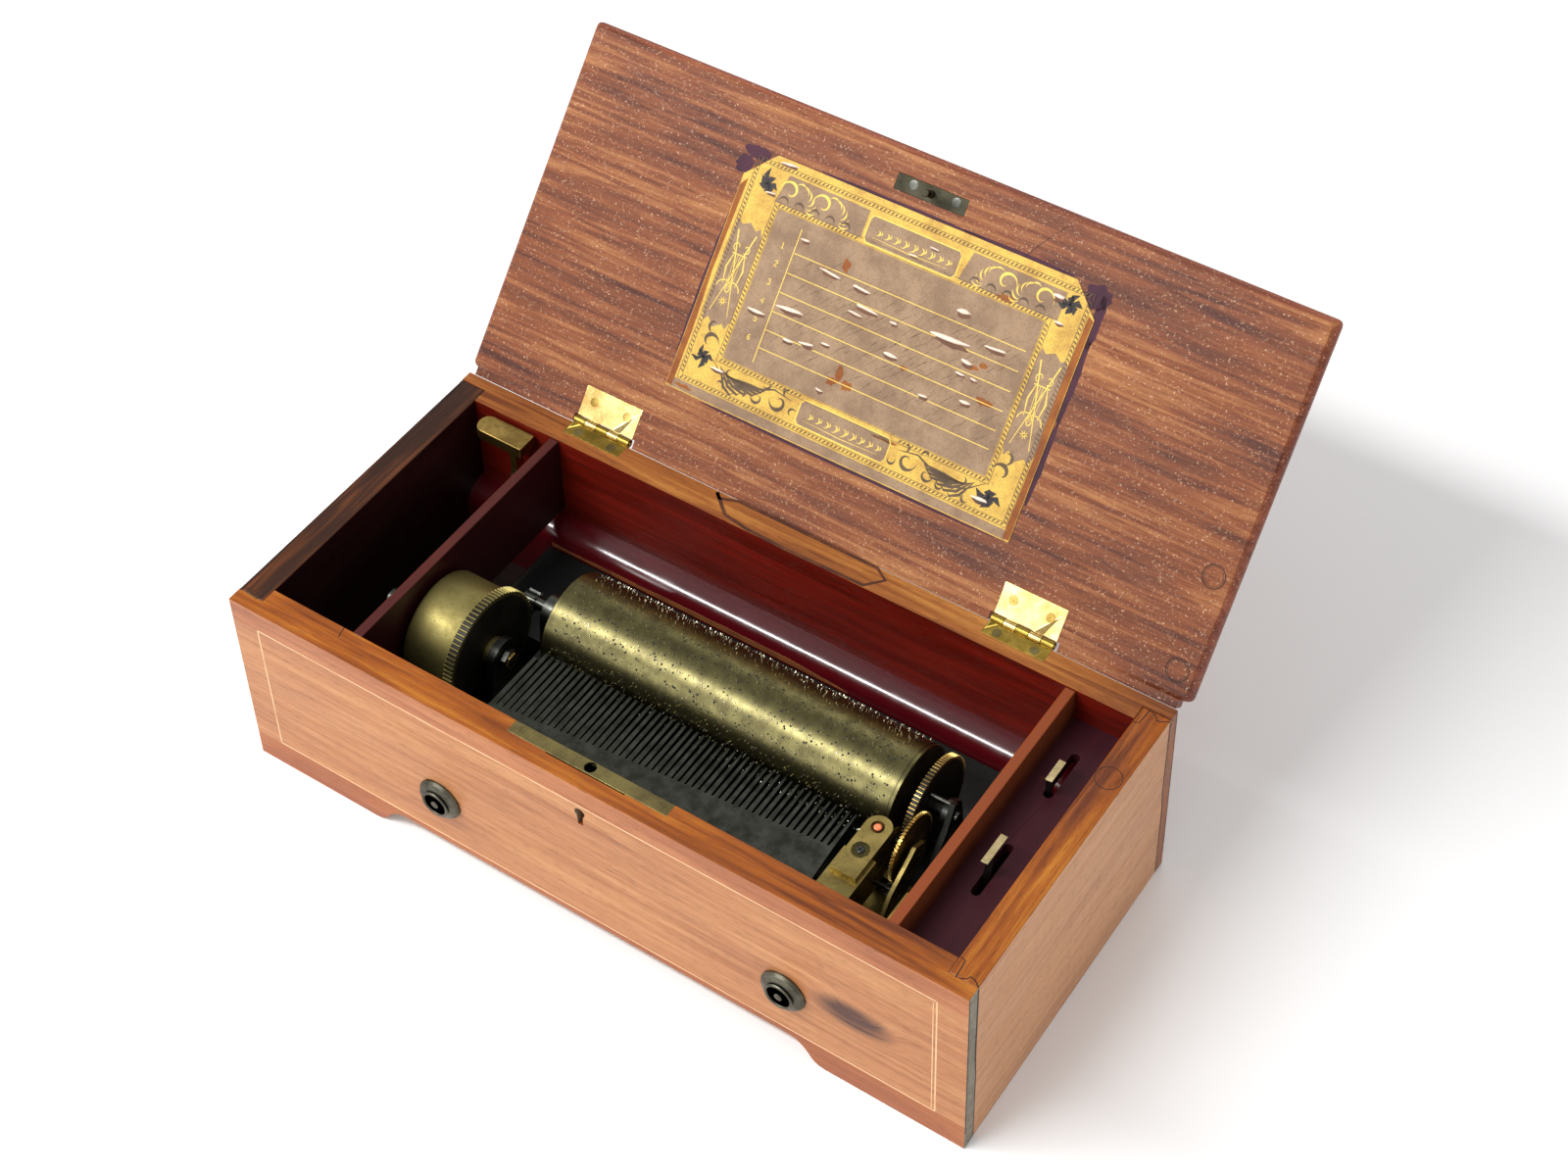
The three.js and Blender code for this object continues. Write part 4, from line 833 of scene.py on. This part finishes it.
inkPrint = {
    "link": 2.1,                                               # length of one link of the chain borders
    "chains": ((field["left"] - 4.2, field["rear"] - 4.2, field["right"] + 4.2, field["front"] + 4.2, 1.2),
               (106.6, 37.6, 283.4, 146.6, 1.0)),              # left, rear, right, front and half width
    "scrolls": ((1, 124), (-1, 264)),                          # which way each runs and where it starts
    "curls": ((7, 47.5, 230), (16, 41.6, -220), (27, 51.2, 210), (38, 51.4, -200), (3, 41.4, 200),
              (43, 43, 230)),
    "leaves": 7,
}
ink = bmesh.new()
# chain borders: a row of small links between two fine lines, left out where the cartouches cross them
for left, rear, right, front, half in inkPrint["chains"]:
    for offset in (-half, half):
        loop = rectangle(left - offset, rear - offset, right + offset, front + offset)
        for i in range(4):
            addStroke(ink, onSheet, [loop[i], loop[(i + 1) % 4]], 0.22, 0, 0.06)
    loop = [Vector(place) for place in rectangle(left, rear, right, front)]
    for i in range(4):
        first, second = loop[i], loop[(i + 1) % 4]
        links = int((second - first).length / inkPrint["link"])
        along = (second - first).normalized()
        across = Vector((-along.y, along.x))
        for step in range(links):
            middle = first + along * (step + 0.5) * inkPrint["link"]
            if 168 < middle.x < 221 and (middle.y > 127.5 or middle.y < 53.5) and half == 1.2:
                continue
            reach = across * half * 0.62 + along * 0.5
            addStroke(ink, onSheet, [middle - reach, middle + reach], [0.5, 0.7], 0, 0.06)
# acanthus scrolls on the gold part, the same on both sides
for flip, origin in inkPrint["scrolls"]:
    start = 180 if flip > 0 else 0
    addStroke(ink, onSheet, curl((origin + flip * 35, 45.6), 5.0, start, flip * 320, 0.2, 24),
              leafWidths(24, 2.0, 0.3), 0, 0.07)
    addStroke(ink, onSheet, curl((origin + flip * 24, 43.4), 3.6, start, flip * 260, 0.25, 18),
              leafWidths(18, 1.5, 0.3), 0, 0.07)
    stem = [(origin - flip * 4, 51), (origin + flip * 4, 45), (origin + flip * 13, 43),
            (origin + flip * 22, 46.5), (origin + flip * 31, 50), (origin + flip * 41, 48.5)]
    addStroke(ink, onSheet, stem, [0.2, 0.9, 1.1, 1.0, 0.8, 0.2], 0, 0.06)
    for count, (out, fromBack, turn) in enumerate(inkPrint["curls"]):
        tendril = curl((origin + flip * out, fromBack), 2.7, 90 + 60 * count, flip * turn, 0.3, 14)
        addStroke(ink, onSheet, tendril, leafWidths(14, 1.3), 0, 0.06)
    # long leaves that fan out of one stem, one above the other
    for leaf in range(inkPrint["leaves"]):
        rise = leaf - 3
        reach = 25 - 1.5 * abs(rise)
        base = (origin + flip * (1 + 0.8 * leaf), 49.5 - 0.5 * leaf)
        tip = (base[0] + flip * reach * (0.45 + 0.09 * leaf), base[1] - 6.0 + 1.5 * rise + 0.4 * leaf)
        bend = ((base[0] + tip[0]) / 2, (base[1] + tip[1]) / 2 - 1.4 + 0.5 * rise)
        blade = [base, bend, tip, (tip[0] + flip * 1.6, tip[1] + 1.6)]
        addStroke(ink, onSheet, blade, [0.3, 1.5, 1.1, 0.1], 0, 0.07)
    addStroke(ink, onSheet, curl((origin - flip * 9, 58), 5, 90 - flip * 90, flip * 250, 0.3, 14),
              leafWidths(14, 2.2), 0, 0.07)
    addStroke(ink, onSheet, curl((origin - flip * 9, 66), 4, 270, -flip * 200, 0.3, 12),
              leafWidths(12, 1.8), 0, 0.07)
    for row in range(5):
        base = (origin + flip * (2 + 8.5 * row), 131.6)
        addStroke(ink, onSheet, curl(base, 3.2, start, -flip * 190, 0.5, 10), leafWidths(10, 1.3), 0.03, 0.1)
makePiece("grey_brown_print_on_the_card", ink, sheetInk, "lid")

# faded pen strokes that spell nothing
penRow = {"start": 143, "end": 258, "tall": (1.6, 6.5), "lean": (0.7, 1.1), "width": (0.12, 0.34),
          "gap": (0.9, 5.5)}
pen = bmesh.new()
for fromBack in goldPrint["ruled"][:-1]:
    x = penRow["start"] + rng.uniform(0, 3)
    while x < penRow["end"]:
        tall = rng.uniform(*penRow["tall"])
        lean = rng.uniform(*penRow["lean"])
        base = fromBack - rng.uniform(1, 8.5)
        width = rng.uniform(*penRow["width"])
        stroke = [(x, base), (x + tall * lean * 0.5, base + tall * 0.55), (x + tall * lean, base + tall)]
        addStroke(pen, onSheet, stroke, [0.08, width, 0.1], 0, 0.06)
        x += rng.uniform(*penRow["gap"])
makePiece("faded_pen_strokes", pen, sheetInk, "lid")

rosettes = {"places": (((115, 137), 6.5), ((114.5, 50.3), 5.5), ((275, 139.5), 5.5), ((271.5, 45.5), 6.5)),
            "petals": 7}
petals = bmesh.new()
for centre, size in rosettes["places"]:
    for petal in range(rosettes["petals"]):
        angle = 2 * math.pi * petal / rosettes["petals"] + rng.uniform(-0.3, 0.3)
        reach = size * rng.uniform(0.6, 1.15)
        far = (centre[0] + reach * math.cos(angle), centre[1] + reach * math.sin(angle))
        bend = (centre[0] + reach * 0.6 * math.cos(angle + 0.4),
                centre[1] + reach * 0.6 * math.sin(angle + 0.4))
        addStroke(petals, onSheet, [centre, bend, far], [0.8, rng.uniform(2.2, 3.4), 0.3], 0, 0.12)
makePiece("black_rosettes_on_the_card", petals, darkPetal, "lid")

# flakes of the printed face that have lifted: x, distance from the hinged edge, length and height
flakes = {
    "upper": [(160.8, 110, 12, 1.3), (178, 109, 10, 1.5), (184, 101.5, 12, 1.6), (179.5, 97.5, 8, 1.2),
              (148, 87, 15, 1.7), (132, 80, 10, 1.4), (227, 104, 21, 2.2), (229, 118, 7, 2.0),
              (250, 108, 11, 1.5)],
    "lower": [(152.5, 73.5, 6, 1.2), (162, 75.5, 8, 1.4), (171, 79, 5, 1), (203, 86.5, 8, 1.5),
              (239, 97.5, 6, 1.8), (199, 100.5, 4, 1.1), (238, 91.5, 5, 1), (245, 91.5, 4, 1),
              (225, 75.5, 5, 1.2), (245, 80.5, 6, 1.4), (143, 119.5, 5, 1.3), (176, 58.5, 4, 1.2)],
    "border": [(118, 133.5, 6, 1), (269, 141, 6, 2), (124, 47.5, 8, 1.2), (273, 130, 5, 1),
               (268, 43.5, 9, 1.6), (122, 149, 10, 1.1), (196, 132.5, 5, 0.8), (205, 139, 5, 0.8)],
    "dome": [(0.0, 1.0), (0.35, 0.94), (0.6, 0.72), (0.75, 0.4)],
    "steps": 14,
}
blisters = bmesh.new()
shadows = bmesh.new()
steps = flakes["steps"]
for x, fromBack, long, tall in flakes["upper"] + flakes["lower"] + flakes["border"]:
    lean = rng.uniform(-0.08, 0.12)
    rings = []
    for rise, share in flakes["dome"]:
        ring = []
        for i in range(steps):
            angle = 2 * math.pi * i / steps
            across = long / 2 * share * math.cos(angle) * (1 + 0.12 * math.sin(3 * angle + x))
            along = tall / 2 * share * math.sin(angle) * (1 + 0.2 * math.sin(2 * angle + fromBack))
            height = 0.02 + rise * tall * 0.75
            ring.append(blisters.verts.new(onSheet(x + across, fromBack + along + lean * across, height)))
        rings.append(ring)
    for first, second in zip(rings, rings[1:]):
        for i in range(steps):
            j = (i + 1) % steps
            blisters.faces.new((first[i], first[j], second[j], second[i]))
    blisters.faces.new(rings[0][::-1])
    blisters.faces.new(rings[-1])
    # painted shadow: a red-brown patch on the card just in front of each lifted flake
    addPatch(shadows, onSheet, (x + 0.5, fromBack - tall * 0.75), (long * 0.9, tall * 1.5), rng, 0, 0.09,
             0.25)
makePiece("lifted_flakes_of_the_card", blisters, blisterPaper, "lid", smooth=1.2)
makePiece("painted_shadow_under_the_flakes", shadows, flakeShadow, "lid")
print("stage: tune card made")

# screws; their heads stand so little proud that the leaves and plates clear each other when the lid shuts
hingeFit = {"leaves": (62.5, 293.5), "along": (6.5, 25.5), "lidRow": 8.6, "caseRow": 168.6, "radius": 2.3,
            "height": 0.13, "turns": (0.5, 2.1, 1.2, 2.7)}
screwsOnLid = bmesh.new()
screwsOnCase = bmesh.new()
for number, left in enumerate(hingeFit["leaves"]):
    for index, along in enumerate(hingeFit["along"]):
        turn = hingeFit["turns"][2 * number + index]
        size = (hingeFit["radius"], hingeFit["height"])
        addScrew(screwsOnLid, (left + along, caseSize.y - hingeFit["lidRow"], lidUnder), down, *size, turn)
        addScrew(screwsOnCase, (left + along, hingeFit["caseRow"], caseSize.z), up, *size, turn + 1)
hingeScrewBrass = agedMetal("rubbed screw brass", "#c8a860", "#8f7538", "#453616", 0.3)
makePiece("hinge_screws_in_the_lid", screwsOnLid, hingeScrewBrass, "lid")
makePiece("hinge_screws_in_the_rear_wall", screwsOnCase, dullBrass, "case")

lockFit = {"catchY": 11.0, "catchHead": (2.3, 0.22), "plateY": 11.8, "plateHead": (1.6, 0.2)}
catchScrews = bmesh.new()
for x, turn in ((183.8, 0.4), (206.6, 1.9)):
    addScrew(catchScrews, (x, lockFit["catchY"], lidUnder), down, *lockFit["catchHead"], turn)
makePiece("catch_screws", catchScrews, darkSteel, "lid")
lockScrews = bmesh.new()
for x, turn in ((156.5, 0.7), (230.5, 2.2)):
    addScrew(lockScrews, (x, lockFit["plateY"], caseSize.z), up, *lockFit["plateHead"], turn)
makePiece("lock_plate_screws", lockScrews, dullBrass, "case")

# a shallow hollow in the middle of each case bolt's head, with a raised rim round it and a stud in its centre
boltHead = {"x": (113.5, 298.3), "z": 43.5, "proud": 4.2,
            "rim": [(0, 7.4), (0.35, 7.2), (0.5, 6.6), (0.35, 6.0), (0, 5.8)],
            "stud": [(0, 0), (0, 1.8), (0.06, 1.94), (0.2, 2.0), (0.3, 2.0), (0.44, 1.94), (0.5, 1.8),
                     (0.5, 0)]}
boltRims = bmesh.new()
for x in boltHead["x"]:
    centre = (x, -boltHead["proud"], boltHead["z"])
    addTurned(boltRims, boltHead["rim"], centre, (0, -1, 0), 36)
    addTurned(boltRims, boltHead["stud"], centre, (0, -1, 0), 24)
bmesh.ops.holes_fill(boltRims, edges=[edge for edge in boltRims.edges if edge.is_boundary])
makePiece("rims_on_the_bolt_heads", boltRims, pewterSteel, "case")
print("stage: screws made")

# cylinder, spring barrel and wheels
rng = random.Random(5)
drum = {
    "y": 95.3, "z": 74.0, "radius": 24.75, "left": 123.5, "right": 299.5, "track": 0.56,
    "pinRadius": (0.14, 0.26), "pinTall": (0.45, 0.85), "pinLean": (-0.1, 0.35), "pinGap": (0.12, 1.35),
    "dotRadius": (0.3, 0.8), "dotTall": 0.05, "dotGap": (0.2, 1.7),      # sizes in mm, gaps in radians
}
brightPins = bmesh.new()
shadeDots = bmesh.new()


def addPin(mesh, x, angle, radius, tall, lean=0.0):
    # a short bent wire pin: a four-sided spike standing on the drum
    outward = Vector((0, math.cos(angle), math.sin(angle)))
    around = Vector((0, -math.sin(angle), math.cos(angle)))
    along = Vector((1, 0, 0))
    foot = at(x, drum["y"], drum["z"]) + outward * (drum["radius"] - 0.1) / 1000
    tip = foot + (outward * (tall + 0.1) + around * lean) / 1000
    base = []
    top = []
    for i in range(4):
        corner = math.pi * (i / 2 + 0.25)
        reach = (along * math.cos(corner) + around * math.sin(corner)) * radius / 1000
        base.append(mesh.verts.new(foot + reach))
        top.append(mesh.verts.new(tip + reach * 0.8))
    mesh.faces.new(base[::-1])
    mesh.faces.new(top)
    for i in range(4):
        j = (i + 1) % 4
        mesh.faces.new((base[i], base[j], top[j], top[i]))


for track in range(int((drum["right"] - drum["left"]) / drum["track"])):
    x = drum["left"] + track * drum["track"]
    angle = rng.uniform(0, 1)
    while angle < 2 * math.pi:
        addPin(brightPins, x, angle, rng.uniform(*drum["pinRadius"]), rng.uniform(*drum["pinTall"]),
               rng.uniform(*drum["pinLean"]))
        angle += rng.uniform(*drum["pinGap"])
    # painted shade: flat black dots on the drum between the pins
    angle = rng.uniform(0, 1)
    while angle < 2 * math.pi:
        addPin(shadeDots, x + rng.uniform(-0.2, 0.2), angle, rng.uniform(*drum["dotRadius"]), drum["dotTall"])
        angle += rng.uniform(*drum["dotGap"])
pinSteel = agedMetal("bright pin steel", "#d8d2bc", "#8d8768", "#3d3a2a", 0.3)
# painted shade for the dots on the drum
shadeDotBlack = agedMetal("painted shade dots", "#15130b", "#221f12", "#0a0905", 0.7, metallic=0.1)
makePiece("cylinder_pins", brightPins, pinSteel, "cylinder")
makePiece("painted_shade_dots_between_the_pins", shadeDots, shadeDotBlack, "cylinder")

# painted shade: a thin black film on the flat faces of the wheels, which lie in shade; the film on the
# cylinder's own wheel stays on the arbor
paintedShadeBlack = agedMetal("painted shade black", "#15140f", "#221f16", "#0a0a08", 0.45, metallic=0.4)
shadeFilm = {"cylinderWheel": (314.22, 22.6, 3.4), "cylinderEnd": (304.02, 23.4, 4.2), "thick": 0.12,
           "greatWheel": [(0, 6.4), (0.15, 6.6), (0.15, 26.8), (0, 27.2), (0, 6.4)],
           "greatWheelAt": (97.0, 62, 73)}
for name, body, (x, outer, inner) in (
    ("painted_shade_on_the_cylinder_wheel_face", "cylinder_arbor", shadeFilm["cylinderWheel"]),
    ("painted_shade_on_the_cylinder_end", "cylinder", shadeFilm["cylinderEnd"]),
):
    face = bmesh.new()
    thick = shadeFilm["thick"]
    profile = [(0, inner), (thick, inner), (thick, outer - 0.2), (0, outer), (0, inner)]
    addTurned(face, profile, (x, drum["y"], drum["z"]), (1, 0, 0), 64)
    makePiece(name, face, paintedShadeBlack, body, smooth=0.5)
barrelFace = bmesh.new()
addTurned(barrelFace, shadeFilm["greatWheel"], shadeFilm["greatWheelAt"], (1, 0, 0), 72)
makePiece("painted_shade_on_the_great_wheel_face", barrelFace, paintedShadeBlack, "spring_barrel",
          smooth=0.5)

# painted shade: black fills the bottom of every gap between the teeth; phase, in radians, is where the teeth
# start
shadedGaps = {
    "painted_shade_in_the_great_wheel_gaps": {"body": "spring_barrel", "x": (92.1, 96.9), "y": 62, "z": 73, "root": 27.4,
                                  "top": 28.75, "teeth": 80, "phase": 0.030},
    "painted_shade_in_the_cylinder_wheel_gaps": {"body": "cylinder_arbor", "x": (311.1, 314.1), "y": drum["y"],
                                     "z": drum["z"], "root": 23.0, "top": 24.0, "teeth": 80, "phase": 2.993},
}
for name, wheel in shadedGaps.items():
    gapShade = bmesh.new()
    pitch = 2 * math.pi / wheel["teeth"]
    for gap in range(wheel["teeth"]):
        angle = wheel["phase"] + pitch * (gap + 0.5)
        half = 0.26 * pitch
        wedge = [(wheel["root"], angle - half), (wheel["top"], angle - half), (wheel["top"], angle + half),
                 (wheel["root"], angle + half)]
        addPrism(gapShade, [(reach * math.cos(turn), reach * math.sin(turn)) for reach, turn in wedge],
                 lambda a, b, h: at(h, wheel["y"] + a, wheel["z"] + b), *wheel["x"])
    makePiece(name, gapShade, paintedShadeBlack, wheel["body"])
print("stage: drum pins and wheel faces made")

# screws, blocks and levers of the movement
rng = random.Random(3)
combFit = {"x": (131, 166, 205, 244, 280), "y": 27.5, "z": 80.0, "head": (3.0, 1.1)}
bedScrews = bmesh.new()
for x in combFit["x"]:
    addScrew(bedScrews, (x, combFit["y"], combFit["z"]), up, *combFit["head"], rng.uniform(0, 3))
makePiece("comb_screws", bedScrews, darkSteel, "case")

cockFit = {"screw": (306.2, 47.8), "top": 92.0, "head": (2.0, 0.8), "soot": (8.2, 8.2), "ruby": (306, 61.5),
           "setting": [(0, 2.1), (0.3, 2.1), (0.45, 2.5), (0.3, 3.0), (0, 3.0), (0, 2.1)]}
cockScrew = bmesh.new()
addScrew(cockScrew, (*cockFit["screw"], cockFit["top"]), up, *cockFit["head"], 0.4)
makePiece("top_cock_screw", cockScrew, darkSteel, "case")
soot = bmesh.new()
addPatch(soot, lambda a, b, h: at(a, b, cockFit["top"] + h), cockFit["screw"], cockFit["soot"], rng, -0.05,
         0.03, 0.05, 36)
sootyBrass = agedMetal("sooty brass", "#33301c", "#5c5632", "#14130c", 0.5)
makePiece("soot_round_the_cock_screw", soot, sootyBrass, "case")
rubyRim = bmesh.new()
addTurned(rubyRim, cockFit["setting"], (*cockFit["ruby"], cockFit["top"]), up, 40)
darkSetting = agedMetal("dark setting", "#3a2414", "#5a3a1c", "#1c120a", 0.4)
makePiece("ruby_setting", rubyRim, darkSetting, "case")

nut = {"x": 108, "y": 62, "z": 73, "reach": 4.1, "thick": 1.4}
barrelNut = bmesh.new()
corners = [math.pi * i / 3 for i in range(6)]
hexagon = [(nut["reach"] * math.cos(angle), nut["reach"] * math.sin(angle)) for angle in corners]
addPrism(barrelNut, hexagon, lambda a, b, h: at(nut["x"] + h, nut["y"] + a, nut["z"] + b), 0.0, nut["thick"])
makePiece("small_brass_nut_on_the_barrel_arbor", barrelNut, agedBrass, "winding_arbor", bevel=0.3)

# plain blocks: low corner, high corner, finish, body, slot and softened edge
tabBrass = agedMetal("rubbed lever brass", "#c9b88c", "#a8946a", "#6d5c3c", 0.32, relief=0.004)
greyCasting = agedMetal("grey cast block", "#6b6a5e", "#55544a", "#2e2d26", 0.5)
blocks = {
    "bedplate_end_by_the_partition": ((64.7, 84, 41), (84, 144.3, 48.3), bedIron, "case", "black_iron", 0.4),
    "change_block_on_the_bedplate": ((321, 121, 48.45), (334, 142, 57), greyCasting, "case", "steel", 0.5),
    "small_brass_plate_by_the_wheel": ((326.5, 30, 70.5), (329.5, 52, 73), agedBrass, "case", "brass", 0.3),
    "rubbed_top_of_the_start_lever": ((355.3, 63.0, 102.65), (358.7, 79.5, 103.0), tabBrass, "start_lever",
                                      "brass", 0.1),
    "rubbed_top_of_the_change_lever": ((355.3, 116.0, 99.55), (358.7, 128.5, 99.9), tabBrass, "change_lever",
                                       "brass", 0.1),
}
for name, (low, high, material, body, slot, bevel) in blocks.items():
    block = bmesh.new()
    addBox(block, low, high)
    makePiece(name, block, material, body, bevel=bevel)

# the rail's stain has worn off along its lower edge, more so towards the right
rubbedRail = {"left": 66, "right": 236, "bottom": 48.6, "step": 8.5, "face": 145}
bareEdge = bmesh.new()
ragged = [(rubbedRail["left"], rubbedRail["bottom"]), (rubbedRail["right"], rubbedRail["bottom"])]
for i in range(21):
    if i < 20:
        height = 49.2 + (4.2 - 0.17 * i) * rng.uniform(0.75, 1.1) * min(i / 4, 1)
    else:
        height = 50.5 + rng.uniform(0, 1)
    ragged.append((rubbedRail["right"] - rubbedRail["step"] * i, height))
addPrism(bareEdge, ragged, lambda a, b, h: at(a, rubbedRail["face"] - h, b), -0.2, 0.05)
bareWood = stainedPaper("bare orange wood", "#9a5a2c", "#7a4420", "#4a2814")
makePiece("bare_lower_edge_of_the_rail", bareEdge, bareWood, "case")

wire = {"centre": (262, 3.2), "radius": 2.6, "thick": 0.5}
curledWire = bmesh.new()
bends = [(wire["centre"][0] + wire["radius"] * math.cos(0.45 * i),
          wire["centre"][1] + wire["radius"] * math.sin(0.45 * i)) for i in range(13)]
addStroke(curledWire, lambda a, b, h: at(a, combFit["y"] + h, combFit["z"] + b), bends, wire["thick"],
          -wire["thick"] / 2, wire["thick"] / 2)
makePiece("curled_wire_on_the_comb", curledWire, brightSteel, "case")
print("stage: movement details made")

# floor and lights, in metres
studio = {
    "floor": "#f2f2f2",
    "sky": 0.56,
    "glow": 0.05,
    "key": {"place": (-0.9, -0.95, 1.75), "long": 1.7, "wide": 0.2, "power": 36},
    "front": {"place": (-0.95, -2.75, 1.55), "long": 1.4, "wide": 1.4, "power": 22},
    "rim": {"place": (-0.4, 1.5, 1.5), "long": 1.0, "wide": 1.0, "power": 5},
}
bpy.context.scene.view_settings.view_transform = "Standard"
floorMesh = bmesh.new()
bmesh.ops.create_grid(floorMesh, x_segments=1, y_segments=1, size=6)
floorData = bpy.data.meshes.new("floor")
floorMesh.to_mesh(floorData)
floorMesh.free()
floor = bpy.data.objects.new("floor", floorData)
floorPaint, tree = newMaterial("matt white card")
place = addNode(tree, "ShaderNodeTexCoord", out="Object")
mottle = addNode(tree, "ShaderNodeTexNoise", {"Vector": place, "Scale": 3.0, "Detail": 2.0})
tone = addNode(tree, "ShaderNodeMix", {0: mottle, 6: studio["floor"], 7: "#ffffff"}, out=2, data_type="RGBA")
endMaterial(tree, {"Base Color": tone, "Roughness": 0.85, "Emission Color": "#ffffff",
                   "Emission Strength": studio["glow"]})
floorData.materials.append(floorPaint)
bpy.context.scene.collection.objects.link(floor)
world = bpy.data.worlds.new("soft studio")
world.use_nodes = True
world.node_tree.nodes["Background"].inputs["Color"].default_value = hexToLinear("#ffffff")
world.node_tree.nodes["Background"].inputs["Strength"].default_value = studio["sky"]
bpy.context.scene.world = world
for name in ("key", "front", "rim"):
    lamp = studio[name]
    data = bpy.data.lights.new(name, "AREA")
    data.shape = "RECTANGLE"
    data.size = lamp["long"]
    data.size_y = lamp["wide"]
    data.energy = lamp["power"]
    light = bpy.data.objects.new(name, data)
    light.location = lamp["place"]
    aim = Vector((0, 0, 0.08)) - light.location
    # the long side of every lamp lies along the case, so its glint runs the length of the cylinder
    back = -aim.normalized()
    along = (Vector((1, 0, 0)) - back * back.x).normalized()
    light.rotation_euler = Matrix((along, back.cross(along), back)).transposed().to_euler()
    bpy.context.scene.collection.objects.link(light)
print("stage: studio lit")
